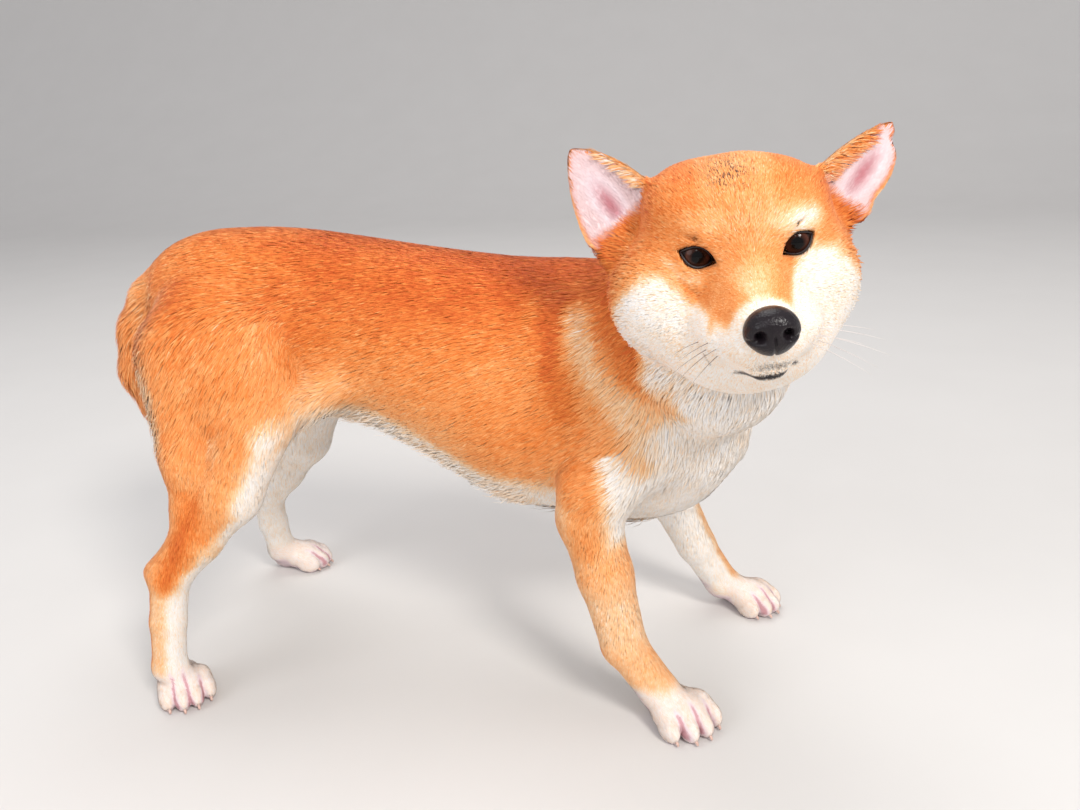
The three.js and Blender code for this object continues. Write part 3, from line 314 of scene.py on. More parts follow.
def head_forms():
    """Skull, brow, throat, muzzle and stop, then the paired forms and the chin, in the head's frame."""
    shapes = [
        egg((-5, 0, 6), (60, 58, 50), 10),
        egg((10, 0, 19), (36, 44, 35), 12),
        egg((24, CHEEK_SHIFT / 3, -53), (47, 52, 37), 14),
        taper((38, 0, -27), (90, 0, -33.5), 34, 20, 12),
        taper((36, 0, 2), (66, 0, -16), 14, 10, 12),
    ]
    for s in SIDES.values():
        temple = egg((-8, 27 * s, 24 - 3.5 * s), (42, 31, 27), 10)
        cheek = egg((-3, CHEEK_SHIFT + 35 * s, -28), (50, 44, 44), 16)
        shapes += [temple, cheek]
    for s in SIDES.values():
        lip = egg((60, 20 * s, -40), (28, 17, 17), 10)
        lip_front = egg((83, 11 * s, -40), (19, 14, 13), 6)
        shapes += [lip, lip_front]
    chin = taper((30, 0, -54), (90, 0, -53), 26, 11, 10)
    brows = [egg((33, 21 * s, 17), (15, 15, 12), 8) for s in SIDES.values()]
    ear_roots = [egg((-24, -70, 0), (18, 16, 24), 10), egg((-24, 58, -2), (18, 12, 20), 10)]
    return [*shapes, chin, *brows, *ear_roots]


def ear_frame(ear):
    up = unit(np.subtract(ear["tip"], ear["root"]))
    slant = np.subtract(ear["outer"], ear["root"])
    out = unit(slant - up * (slant @ up))
    front = np.cross(up, out)
    return up, out, front if front[0] > 0 else -front


def ear_places(ear, p):
    """Share of the ear's length, places across, along and through it, half width there, length."""
    up, out, forward = ear_frame(ear)
    q = p - vec(*ear["root"])
    long = np.linalg.norm(np.subtract(ear["tip"], ear["root"]))
    v, u, w = q @ up, q @ out, q @ forward
    t = np.clip(v / long, 0, 1)
    dent = np.exp(-((t - EAR["notch_at"]) / EAR["notch_long"]) ** 2)
    notch = np.where(u > 0, ear["notch"] * dent, 0)
    bulge = np.maximum(np.minimum(t, 0.8) - 0.25, (0.25 - t) * 0.2) - 0.2
    flare = np.where(u > 0, 1 + ear["flare"] * bulge, 1)
    bow = np.where(u > 0, EAR["bow"], ear["bow"])
    below = np.sqrt(np.maximum(1 - (np.minimum(v, 0) / ear["drop"]) ** 2, 0))
    outline = np.where(u > 0, ear["outward"], ear["inward"]) * (1 - t ** bow) ** EAR["fullness"]
    half = outline * flare * below - notch
    return t, u, v, w, half, long


def ear_form(ear):
    def distance(p):
        t, u, v, w, half, long = ear_places(ear, p)
        rim = np.abs(u) - half
        edge = np.where(v > long, np.hypot(u, v - long), rim * EAR["edge"])
        cup = mix(EAR["root_cup"], EAR["tip_cup"], t) * (u / EAR["half"]) ** 2
        plate = np.abs(w - cup) - mix(EAR["root_thick"], EAR["tip_thick"], t) / 2
        return np.maximum(-soft_least(-plate, -edge, 2), -v - ear["drop"] * 0.95)

    low = np.minimum(ear["root"], ear["tip"]) - EAR["room"]
    high = np.maximum(ear["root"], ear["tip"]) + EAR["room"]
    return form(distance, low, high, EAR["soft"])


def fore_leg_forms(side):
    j = JOINTS[side]
    out = SIDES[side]
    lean = unit(np.subtract(j["shoulder"], j["blade"]))
    across = vec(0, 1, 0)
    axes = (lean, across, np.cross(lean, across))
    thick = np.add(j["elbow"], (6, out * -2, 22))
    middle = between(j["elbow"], j["wrist"], 0.45)
    return [
        egg(between(j["blade"], j["shoulder"], 0.35), (62, 26, 40), 22, axes),
        taper(np.add(j["shoulder"], (-10, 0, -4)), thick, 36, 30, 22),
        *chain([(thick, 29), (j["elbow"], 25), (middle, 21.5), (j["wrist"], 18.5)], 8),
        taper(j["wrist"], j["fore_toe"], 17, 16, 5),
    ]


def hind_leg_forms(side):
    j = JOINTS[side]
    out = SIDES[side]
    down = unit(np.subtract(j["stifle"], j["hip"]))
    across = unit((0.1, 1, 0.3 * out))
    axes = (down, across, unit(np.cross(down, across)))
    back = np.add(j["hock"], (-14, 0, 3))
    seat = np.add(j["hip"], (2, out * 20, -30))
    shin = between(j["stifle"], j["hock"], 0.4) + (8, 0, -5)
    ankle = between(j["stifle"], j["hock"], 0.72) + (4, 0, -4)
    cannon = between(j["hock"], j["hind_toe"], 0.5) + (-1.5, 0, 0)
    ham = between(j["stifle"], j["hock"], 0.28) + (-32, out * 2, 8)
    calf = between(j["stifle"], j["hock"], 0.58) + (-10, 0, 0)
    tendon = between(j["stifle"], j["hock"], 0.82) + (-3, 0, 0)
    fold = np.add(j["stifle"], (8, out * -6, 8))
    return [
        taper((-78, out * 42, 268), fold, 16, 20, 20),
        egg(between(j["hip"], j["stifle"], 0.5) + (0, out * 2, 4), (76, 38, 62), 18, axes),
        *chain([(seat, 36), (ham, 23), (calf, 17), (tendon, 9), (back, 8)], 12),
        *chain([(j["stifle"], 30), (shin, 25), (ankle, 18.5), (j["hock"], 17.5)], 10),
        *chain([(j["hock"], 16.5), (cannon, 14.5), (j["hind_toe"], 14)], 5),
    ]


def paw_frame(paw):
    ahead = unit((*paw["heading"], 0))
    leftward = vec(-ahead[1], ahead[0], 0)

    def spot(forward, across, up):
        return vec(*paw["at"], up) + ahead * forward + leftward * across

    return ahead, leftward, spot


def toe_place(paw, toe):
    forward = paw["length"] / 2 - (20 if abs(toe) > 1 else 13)
    return forward, toe * paw["width"] / 4.5


def paw_forms(paw, knuckle):
    """The paw's body, its root and its heel, then each toe and its knuckle."""
    ahead, leftward, spot = paw_frame(paw)
    axes = (ahead, leftward, vec(0, 0, 1))
    shapes = [
        egg(spot(-3, 0, 13), (paw["length"] * 0.4, paw["width"] * 0.42, 14), 6, axes),
        taper(knuckle, spot(2, 0, 13), 13.5, 12, 6),
        egg(spot(-paw["length"] * 0.42, 0, 11), (13, paw["width"] * 0.3, 12), 6, axes),
    ]
    for toe in TOES:
        forward, across = toe_place(paw, toe)
        shapes.append(egg(spot(forward, across, 9.5), (12.5, 6.8, 10.5), 2.5, axes))
        shapes.append(egg(spot(forward - 10, across * 0.92, 15.5), (11, 6.6, 8.5), 3.5, axes))
    return shapes


def neck_forms():
    return [
        *chain([(NECK_ROOT, 66), ((198, -30, 304), 62), ((230, -88, 348), 57)], 26),
        egg((198, -10, 238), (48, 54, 60), 24),
        egg((224, -72, 290), (47, 53, 46), 26),
    ]


def eye_axes(s):
    """The way along the eye's opening, outward, and the way across it, in the head's frame."""
    slant = math.radians(EYE["slant"])
    along = vec(0, math.cos(slant) * s, math.sin(slant))
    return along, np.cross(vec(1, 0, 0), along)


def eye_centre(s):
    return vec(EYE["at"][0], EYE["at"][1] * s, EYE["at"][2])


def eye_forms(s):
    """The lids as a ball, cut by the creases, the opening, the inner corner and the eye's hollow."""
    centre = eye_centre(s)
    along, across = eye_axes(s)

    def opening(p):
        q = p - centre
        u = q @ along / EYE["opening"][0]
        v = q @ across / EYE["opening"][1]
        return np.maximum((np.abs(v) + u * u - 1) * EYE["opening"][1] * EYE["steep"], -q[:, 0])

    low, high = centre + (0, -16, -16), centre + (24, 16, 16)
    lids = egg(centre, (EYE["radius"] + EYE["lid"],) * 3, 5)
    hollow = egg(centre, (EYE["radius"] - EYE["hollow"],) * 3, 0.4)
    corner = carved(taper((41, 19 * s, -3), (37, 22 * s, -2), 1.6, 2.4, 1), 1.5)
    creases = [
        chain([((41, 46 * s, -3), 0.8), ((47, 41 * s, -12), 1.3), ((51, 33 * s, -19), 0.8)], 1),
        chain([((43, 19 * s, 8), 0.2), ((44, 28 * s, 15), 0.4), ((41, 38 * s, 17), 0.2)], 1),
    ]
    folds = [carved(shape, 3) for path in creases for shape in path]
    return [lids, *folds, carved(form(opening, low, high, 1), 1), corner, carved(hollow, 0.4)]


def mouth_forms():
    shapes = []
    for s in SIDES.values():
        widths = (MOUTH_WIDTH["corner"], *[MOUTH_WIDTH["middle"]] * (len(MOUTH) - 1))
        stops = [((x, y * s, z), width) for (x, y, z), width in zip(MOUTH, widths)]
        shapes += [carved(shape, 1.5) for shape in chain(stops, 1)]
    return shapes


flesh_forms = [trunk_form(), *neck_forms()]
flesh_forms += [shape for side in SIDES for shape in fore_leg_forms(side)]
flesh_forms += [shape for side in SIDES for shape in hind_leg_forms(side)]
for (side, end), paw in PAWS.items():
    flesh_forms += paw_forms(paw, JOINTS[side]["fore_toe" if end == "fore" else "hind_toe"])
flesh_forms += [in_head(shape) for shape in head_forms()]
flesh_forms += [in_head(ear_form(EARS[side])) for side in SIDES]
face_forms = [in_head(shape) for s in SIDES.values() for shape in eye_forms(s)]
face_forms += [in_head(shape) for shape in mouth_forms()]
tail_forms = chain(TAIL, 7)
tail_core_forms = chain([(at, radius * share) for (at, radius), share in zip(TAIL, TAIL_CORE)], 7)

# Where on the dog a point lies, as soft shares from 0 to 1


class Places:
    """The shares of the dog's regions at some points, in the dog's frame, with the normals there."""

    def __init__(self, p, n):
        self.p, self.n = p, n
        self.x, self.y, self.z = p.T
        self.h = to_head(p)
        self.hn = n @ HEAD_AXES
        self.side = np.where(self.y < 0, -1.0, 1.0)
        self.find_head()
        self.find_legs()
        self.find_trunk()
        self.find_ears()

    def find_head(self):
        hx, _, hz = self.h.T
        level = rise(hz, -112, -80) * rise(self.z, 250, 290)
        self.head = rise(hx, -52, -22) * level
        self.face = rise(hx, 10, 34) * level
        self.muzzle = rise(hx, 48, 70) * level
        self.cheek = self.head * (1 - self.face) * rise(-hz, -16, 12)

    def find_legs(self):
        x, y, z = self.x, self.y, self.z
        self.legs = {}
        for side, s in SIDES.items():
            heights = {joint: place[2] for joint, place in JOINTS[side].items()}
            mine = rise(y * s, 8, 26)
            fore = rise(x, 60, 84) * mine
            hind = rise(-x, 82, 104) * mine
            self.legs[side, "fore"] = fore * rise(heights["elbow"] + 18 - z, -14, 14)
            self.legs[side, "cannon"] = fore * rise(heights["wrist"] + 6 - z, -12, 12)
            self.legs[side, "thigh"] = rise(-x, 96, 130) * mine * rise(348 - z, -8, 30)
            self.legs[side, "shank"] = hind * rise(heights["stifle"] - 12 - z, -18, 18)
            self.legs[side, "hock"] = hind * rise(heights["hock"] - z, -24, 24)
        self.leg = np.clip(self.both("fore", "shank"), 0, 1)
        self.foot = np.clip(self.both("cannon", "hock"), 0, 1)
        self.thigh = np.clip(self.both("thigh"), 0, 1)
        self.rear_thigh = self.thigh * rise(-self.n[:, 0], 0.0, 0.6)
        self.breeches = self.thigh * (1 - self.leg) * rise(-self.n[:, 0], 0.3, 0.8)
        self.paw = rise(38 - z, -6, 8)

    def both(self, *regions):
        """Regions of the legs, summed over both sides."""
        return sum(self.legs[side, region] for side in SIDES for region in regions)

    def find_trunk(self):
        x, y, z = self.x, self.y, self.z
        self.tail = rise(-x, 262, 276) * rise(z, 180, 200) * rise(60 - np.abs(y), 20, 34)
        self.tail_core = self.tail * rise(-x, 268, 280)
        axis = unit(NECK_WAY)
        q = self.p - vec(*NECK_ROOT)
        along = q @ axis
        away = np.linalg.norm(q - along[:, None] * axis, axis=1)
        self.neck = rise(along, 20, 60) * rise(110 - away, 0, 20) * (1 - self.head)
        self.chest = rise(x, 150, 190) * rise(330 - z, 0, 40) * rise(z, 110, 140) * (1 - self.head)
        self.above_belly = z - smooth_at(TRUNK, np.clip(x, TRUNK[0, 0], TRUNK[-1, 0]))[:, 2]
        under = rise(28 - self.above_belly, -8, 14) * rise(270 - z, 0, 20) * rise(-x, -200, -160)
        self.belly = under * (1 - self.leg) * rise(x, -150, -110) * rise(74 - np.abs(y), 0, 14)

    def find_ears(self):
        """The ears, the bare well inside them, the furred band before it and the deep middle, whose
        deeper pink is partly painted shade in the ear's hollow.
        """
        count = len(self.p)
        self.ear, self.inner_ear, self.ear_edge, self.ear_deep_pink_and_shade = np.zeros((4, count))
        self.ear_tone = np.full(count, 0.34)
        for side in SIDES:
            ear = EARS[side]
            t, u, v, w, half, long = ear_places(ear, self.h)
            up, out, forward = ear_frame(ear)
            across = np.maximum(half, 6)
            near = rise(14 - np.abs(w - 5), 0, 6) * rise(v, -6, 6) * rise(half + 4 - np.abs(u), 0, 3)
            near = near * rise(long + 6 - v, 0, 4)
            front = rise(self.hn @ forward, -0.1, 0.35)
            well = rise(half - np.abs(u), 2.0, 5.5) * rise(1.02 - t, 0.06, 0.14)
            edge = rise(-u / across, ear["band"], ear["band"] + 0.2)
            band = near * front * edge * rise(0.9 - t, 0, 0.25)
            rim = near * rise(np.abs(u) / across, 0.78, 0.95)
            # Deeper pink in the middle of each ear: the bare skin's colour, and painted shade in the
            # ear's hollow
            apart = self.h - ear["pink"]
            deep = np.exp(-((apart @ out + 2) / 6.5) ** 2 - ((apart @ up + 5) / 17) ** 2)
            self.ear = np.maximum(self.ear, near)
            self.inner_ear = np.maximum(self.inner_ear, near * front * well)
            self.ear_edge = np.maximum(self.ear_edge, band)
            self.ear_deep_pink_and_shade = np.maximum(self.ear_deep_pink_and_shade, near * deep)
            self.ear_tone = mix(self.ear_tone, ear["band_tone"], band)
            self.ear_tone = mix(self.ear_tone, 0.58, rim * (1 - band))


# How far the skin lies under the coat's outer surface: regions laid one over the other, in millimetres
BODY_DEPTH = 1.8
DEPTHS = {
    "chest": 2.0, "belly": 3.0, "rear_thigh": 2.5, "leg": 1.4, "foot": 0.9, "head": 2.0,
    "cheek": 2.5, "face": 0.9, "muzzle": 0.5, "ear": 0.5, "paw": 0.5, "tail_core": 0.0,
}


def coat_depth(where):
    depth = np.full(len(where.p), BODY_DEPTH)
    for region, value in DEPTHS.items():
        depth = mix(depth, value, getattr(where, region))
    return depth


# Meshing: a grid with finer steps at the head and paws,
# and one point for each cell that the surface crosses


def grid_marks(spans):
    """The grid's marks along one axis, as many as fill whole blocks."""
    parts = []
    for low, high, step in spans:
        count = max(int(round((high - low) / step)), 1)
        parts.append(np.linspace(low, high, count + 1)[:-1])
    _, last, step = spans[-1]
    marks = np.concatenate([*parts, [last]])
    spare = -len(marks) % BLOCK
    return np.concatenate([marks, last + np.arange(1, spare + 1) * step])


GRID = [grid_marks(spans) for spans in SPANS]


def grid_fields():
    """The coat's outer surface and the skin's, as distances on the grid."""
    middles = [marks.reshape(-1, BLOCK).mean(1) for marks in GRID]
    counts = [len(marks) for marks in middles]
    centres = np.stack(np.meshgrid(*middles, indexing="ij"), -1).reshape(-1, 3)
    rough = measure(flesh_forms + tail_forms, centres)
    spread = math.hypot(*[np.diff(marks).max() * BLOCK / 2 for marks in GRID])
    near = np.abs(rough) < spread + NEAR
    blocks = np.stack(np.unravel_index(np.nonzero(near)[0], counts), 1)
    offsets = np.stack(np.unravel_index(np.arange(BLOCK ** 3), (BLOCK,) * 3), 1)
    cells = (blocks[:, None] * BLOCK + offsets[None]).reshape(-1, 3)
    points = np.stack([GRID[axis][cells[:, axis]] for axis in range(3)], 1)
    flesh = measure(flesh_forms, points)
    flesh = measure(face_forms, points, flesh)
    floor_side = -points[:, 2]
    outer = np.maximum(measure(tail_forms, points, flesh), floor_side)
    skin = rough.reshape(counts)
    for axis in range(3):
        skin = np.repeat(skin, BLOCK, axis)
    skin = skin.astype(np.float32)
    coat = skin.copy()
    index = tuple(cells.T)
    coat[index] = outer
    slopes = slope_at(coat, points)
    inner = measure(tail_core_forms, points, flesh) + coat_depth(Places(points, slopes))
    skin[index] = np.maximum(inner, floor_side)
    return coat, skin


def sample(field, points):
    """A field's values at points, between those at the grid's marks."""
    places = [np.interp(points[:, axis], marks, np.arange(len(marks))) for axis, marks in enumerate(GRID)]
    lows = [np.clip(place.astype(np.int32), 0, size - 2) for place, size in zip(places, field.shape)]
    parts = [place - low for place, low in zip(places, lows)]
    total = np.zeros(len(points), np.float32)
    for bits in CORNERS:
        weight = np.ones(len(points))
        for part, bit in zip(parts, bits):
            weight = weight * (part if bit else 1 - part)
        total += weight * field[tuple(low + bit for low, bit in zip(lows, bits))]
    return total


def slope_at(field, points, step=2.0):
    """The way in which a field rises fastest, at points."""
    slopes = np.empty((len(points), 3))
    for axis in range(3):
        aside = np.zeros(3)
        aside[axis] = step
        slopes[:, axis] = sample(field, points + aside) - sample(field, points - aside)
    return unit(slopes)


def crossings(field, cells):
    """The middle of the places where the edges of each cell pass through nought."""
    sums = np.zeros((len(cells), 3))
    hits = np.zeros(len(cells))
    for axis in range(3):
        others = [a for a in range(3) if a != axis]
        for steps in ((0, 0), (0, 1), (1, 0), (1, 1)):
            start = cells.copy()
            start[:, others] += steps
            end = start.copy()
            end[:, axis] += 1
            a = field[tuple(start.T)]
            b = field[tuple(end.T)]
            crossed = (a < 0) != (b < 0)
            spot = start.astype(float)
            spot[:, axis] += np.where(crossed, a / np.where(crossed, a - b, 1), 0)
            sums[crossed] += spot[crossed]
            hits += crossed
    return sums / hits[:, None]


def surface(field):
    """Points and quads where the field is nought."""
    inside = field < 0
    total = np.zeros([n - 1 for n in field.shape], np.int8)
    for bits in CORNERS:
        total += inside[tuple(slice(bit, n - 1 + bit) for bit, n in zip(bits, field.shape))]
    mixed = (total > 0) & (total < 8)
    cells = np.argwhere(mixed)
    numbers = np.full(mixed.shape, -1, np.int32)
    numbers[mixed] = np.arange(len(cells))
    places = crossings(field, cells)
    points = [np.interp(places[:, axis], np.arange(len(marks)), marks) for axis, marks in enumerate(GRID)]
    quads = []
    for axis in range(3):
        others = [a for a in range(3) if a != axis]
        low = [slice(None)] * 3
        high = [slice(None)] * 3
        low[axis], high[axis] = slice(0, -1), slice(1, None)
        a, b = inside[tuple(low)], inside[tuple(high)]
        edges = np.argwhere(a != b)
        leaves = a[tuple(edges.T)]
        around = []
        for steps in ((1, 1), (0, 1), (0, 0), (1, 0)):
            cell = edges.copy()
            cell[:, others] -= steps
            around.append(numbers[tuple(cell.T)])
        ring = np.stack(around, 1)
        flip = leaves if axis == 1 else ~leaves
        ring[flip] = ring[flip][:, ::-1]
        quads.append(ring)
    return np.stack(points, 1), np.concatenate(quads)


def settle(points, quads, field):
    """Evens the points out along the surface and sets them back on it."""
    for _ in range(SETTLE_ROUNDS):
        sums = np.zeros_like(points)
        hits = np.zeros(len(points))
        for a, b in ((0, 1), (1, 2), (2, 3), (3, 0)):
            for one, other in ((quads[:, a], quads[:, b]), (quads[:, b], quads[:, a])):
                for axis in range(3):
                    sums[:, axis] += np.bincount(one, points[other, axis], len(points))
                hits += np.bincount(one, minlength=len(points))
        points = mix(points, sums / np.maximum(hits, 1)[:, None], 0.5)
        off = sample(field, points)
        points = points - slope_at(field, points, 1.0) * np.clip(off, -1, 1)[:, None] * 0.8
    return points


# From the dog's frame to the row's

eye_low, eye_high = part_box("eye_left")
EYE_IN_ROW = (np.array(eye_low) + np.array(eye_high)) / 2
SHIFT = EYE_IN_ROW - from_head(eye_centre(1)) / 1000


def to_row(points):
    return np.asarray(points) / 1000 + SHIFT


def in_scene(name, data):
    obj = bpy.data.objects.new(name, data)
    bpy.context.scene.collection.objects.link(obj)
    return obj


def mesh_object(name, points, *groups):
    """A smooth mesh from points and groups of faces, each group an array of as many corners a row."""
    counts = np.concatenate([np.full(len(group), group.shape[1]) for group in groups])
    starts = np.concatenate([[0], np.cumsum(counts)[:-1]])
    loops = np.concatenate([group.reshape(-1) for group in groups])
    mesh = bpy.data.meshes.new(name)
    mesh.vertices.add(len(points))
    mesh.vertices.foreach_set("co", to_row(points).astype(np.float32).reshape(-1))
    mesh.loops.add(len(loops))
    mesh.loops.foreach_set("vertex_index", loops.astype(np.int32))
    mesh.polygons.add(len(counts))
    mesh.polygons.foreach_set("loop_start", starts.astype(np.int32))
    mesh.update(calc_edges=True)
    mesh.polygons.foreach_set("use_smooth", np.full(len(counts), True))
    obj = in_scene(name, mesh)
    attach(obj, "root")
    return obj


def give(obj, name, values):
    """A value for each point of a mesh, which its material reads by name."""
    layer = obj.data.attributes.new(name, "FLOAT", "POINT")
    layer.data.foreach_set("value", np.asarray(values, np.float32))


# Markings: 0 is the deep red of the back, 1 is cream

# Strokes in the body's frame, on both sides: path, width, tone, strength
BODY_STROKES = (
    (((-190, 119, 190), (-208, 126, 150), (-220, 131, 122)), 9, 0.08, 0.75),
    (((-150, 96, 120), (-182, 118, 150), (-205, 122, 200)), 10, 0.3, 0.35),
    (((-262, 60, 340), (-258, 66, 290), (-250, 80, 240)), 10, 0.15, 0.35),
    (((-200, 62, 348), (-188, 78, 318), (-196, 86, 290)), 16, 0.08, 0.45),
    (((100, 60, 350), (112, 74, 300), (118, 80, 262)), 12, 0.05, 0.45),
    (((131, 92, 215), (128, 100, 190), (126, 98, 160)), 14, 0.3, 0.5),
    (((134, 90, 66), (131, 90, 52)), 5, 0.0, 0.75),
)
# Strokes on the inner side of the turned neck. The first is painted shade, in a groove where the neck
# folds
NECK_STROKES = (
    (((117, -55, 337), (112, -66, 318), (107, -76, 290)), 6, 0.03, 0.6),
    (((93, -52, 340), (90, -62, 318), (92, -70, 290)), 7, 0.35, 0.5),
    (((130, -66, 330), (138, -80, 299), (157, -83, 272), (173, -87, 249)), 13, 0.8, 0.8),
    (((150, -84, 335), (159, -93, 311), (175, -100, 293), (195, -112, 281)), 8, 0.42, 0.65),
    (((134, -80, 262), (155, -88, 243), (173, -88, 229)), 8, 0.5, 0.6),
)
# Strokes on the face, in the head's frame. The first three are painted shade: in the fold under the right
# eye and down both sides of the muzzle
FACE_STROKES = (
    (((41, -47, -2), (46, -42, -12), (52, -33, -20)), 3.0, 0.34, 0.85),
    (((64, -21, -10), (73, -24, -21), (81, -27, -32)), 3.2, 0.52, 0.6),
    (((50, 17, -8), (58, 19, -16), (62, 22, -24)), 3.0, 0.5, 0.5),
    (((38, -47, 3), (46, -38, -7), (50, -28, -10)), 3.0, 0.8, 0.72),
    (((38, -48, 12), (43, -38, 17), (46, -26, 17)), 4.0, 0.3, 0.35),
)
# Dark strokes on the face: path, width, strength
DARK_STROKES = (
    (((73, -34, -43), (70, -33, -50), (66, -29, -56)), 1.2, 0.65),
    (((118, 1, -42), (108, 1, -47), (104, 1, -55)), 2.2, 0.9),
)
EYE_CORNERS = {-1: (41, -17, -5), 1: (41, 20, -5)}


def near_path(points, path, width):
    """A share that is 1 along a path and fades over the width beside it."""
    away = measure(chain([(at, 0) for at in path], 1), points)
    return np.exp(-(np.maximum(away, 0) / width) ** 2)


def face_markings(where):
    """Red above a line across the cheeks and behind a line down them, and cream elsewhere."""
    hx, hy, hz = where.h.T
    across = np.abs(hy)
    right_edge = np.interp(across, (20, 34, 43, 66, 80), (-30, -21, -7, -2, -24))
    left_edge = np.interp(across, (14, 20, 25, 38, 60, 66, 72), (-22, -14, -6, -1, -3, -20, -50))
    right_back = np.interp(-hz, (8, 35, 62, 85), (31, 5, -16, -28))
    left_back = np.interp(-hz, (9, 30, 60, 85), (26, 8, -15, -20))
    edge = np.where(hy < 0, right_edge, left_edge)
    back = np.where(hy < 0, right_back, left_back)
    pale = rise(edge - hz, -6, 5) * rise(hx - back, -7, 13)
    half = np.interp(hx, (50, 62, 75, 92), (22, 16, 10, 4))
    bridge = rise(half - np.abs(hy + 2), np.where(hy > 0, -7, -4), 5) * rise(hz, -32, -20)
    pale = pale * (1 - bridge)
    red = mix(0.42, 0.3, rise(hz, 10, 52))
    red = mix(red, 0.22, rise(across, 38, 62) * rise(hz, 0, 30))
    red = mix(red, 0.2, rise(-hx, -26, 10) * rise(across, 50, 75))
    red = mix(red, 0.34, np.exp(-(hy / 14) ** 2) * rise(hx, 5, 25) * rise(hz, 20, 40))
    red = mix(red, mix(0.46, 0.72, rise(hx, 54, 90)), bridge)
    tone = mix(red, 0.94, pale)
    tone = mix(tone, 0.88, rise(hx, 88, 100))
    left_brow = np.exp(-((hy - 31) / 15) ** 2 - ((hz - 17) / 7) ** 2) * rise(hx, 22, 36)
    right_brow = np.exp(-((hy + 24) / 9) ** 2 - ((hz - 23) / 5) ** 2) * rise(hx, 26, 40)
    tone = mix(tone, 0.95, np.clip(left_brow, 0, 0.85))
    tone = mix(tone, 0.8, np.clip(right_brow, 0, 0.25))
    for path, width, value, strength in FACE_STROKES:
        tone = mix(tone, value, near_path(where.h, path, width) * strength)
    return tone


def trunk_markings(where):
    """Red on the back, paler down the flanks, cream under the belly."""
    x, z = where.x, where.z
    tone = mix(0.38, 0.16, rise(z, 262, 362))
    tone = mix(tone, 0.33, rise(-x, 70, 190) * rise(z, 290, 350) * 0.85)
    tone = mix(tone, 0.03, np.exp(-((x - 85) / 40) ** 2) * rise(z, 320, 355) * 0.6)
    tone = mix(tone, 0.62, rise(95 - where.above_belly, 0, 70) * 0.75)
    edge = np.interp(x, (-96, -75, 24, 67), (28, 31, 38, 44))
    return mix(tone, 0.88, rise(edge - where.above_belly, -10, 12))


def ahead_of_leg(where):
    """How far ahead of the hind leg's axis a point lies, as a share."""
    ahead = np.full(len(where.x), -99.0)
    for side, s in SIDES.items():
        hock, _, hock_height = JOINTS[side]["hock"]
        stifle, _, stifle_height = JOINTS[side]["stifle"]
        heights = (hock_height, stifle_height, stifle_height + 60)
        axis = np.interp(where.z, heights, (hock, stifle, stifle + 20))
        ahead = np.where(where.y * s > 0, where.x - axis, ahead)
    return rise(ahead, -2, 12)


def leg_markings(where, tone):
    """Red outside, cream inside and on the feet, with the breeches and the shanks' fronts pale."""
    z, n = where.z, where.n
    out = n[:, 1] * where.side
    front, rear = rise(n[:, 0], 0.1, 0.7), rise(-n[:, 0], 0.35, 0.85)
    tone = mix(tone, mix(0.42, 0.3, rise(z, 290, 350)), where.thigh)
    behind = where.thigh * (1 - where.leg) * rise(-n[:, 0], 0.15, 0.65)
    tone = mix(tone, 0.76, behind * rise(322 - z, 0, 40))
    ahead = ahead_of_leg(where)
    tone = mix(tone, 0.96, where.thigh * ahead * rise(n[:, 0], 0.25, 0.65) * rise(270 - z, 0, 30))
    fore, shank, hock = where.both("fore"), where.both("shank"), where.both("hock")
    tone = mix(tone, 0.58, fore)
    tone = mix(tone, 0.7, fore * rise(150 - z, 0, 50))
    tone = mix(tone, 0.6, fore * rise(85 - z, 0, 30) * 0.8)
    tone = mix(tone, 0.48, shank)
    tone = mix(tone, 0.96, shank * ahead * rise(n[:, 0], 0.2, 0.7))
    tone = mix(tone, mix(0.68, 0.36, rear), hock)
    tone = mix(tone, 0.95, hock * front)
    inner = np.maximum(rise(-out, -0.05, 0.4), rise(-n[:, 2], 0.25, 0.6))
    inner = mix(inner, rise(-out, 0.15, 0.6), fore * rise(150 - z, 0, 30))
    tone = mix(tone, 0.95, np.clip(where.leg + where.thigh, 0, 1) * inner)
    mirrored = np.stack([where.x, np.abs(where.y), z], 1)
    for path, width, value, strength in BODY_STROKES:
        tone = mix(tone, value, near_path(mirrored, path, width) * strength * rise(out, -0.2, 0.2))
    return mix(tone, 0.9, where.paw)


def between_toes(where):
    """Where the skin shows pink between the toes, strongest in the clefts, partly as painted shade."""
    share = np.zeros(len(where.p))
    for paw in PAWS.values():
        ahead, leftward, _ = paw_frame(paw)
        q = where.p[:, :2] - paw["at"]
        forward, across = q @ ahead[:2], q @ leftward[:2]
        near = rise(paw["length"] * 0.6 - np.abs(forward), 0, 6)
        near = near * rise(paw["width"] * 0.62 - np.abs(across), 0, 4)
        gap = 0.5 + 0.5 * np.cos(2 * math.pi * across / (paw["width"] / 4.5))
        middle = rise(paw["width"] * 0.36 - np.abs(across), 0, 4)
        # Strongest in the clefts between the toes: pink skin with painted shade
        pattern = gap ** 4 * middle * rise(forward, 0, 14) * rise(where.z, 3, 8)
        share = np.maximum(share, near * np.clip(pattern + 0.15, 0, 1))
    return share * where.paw


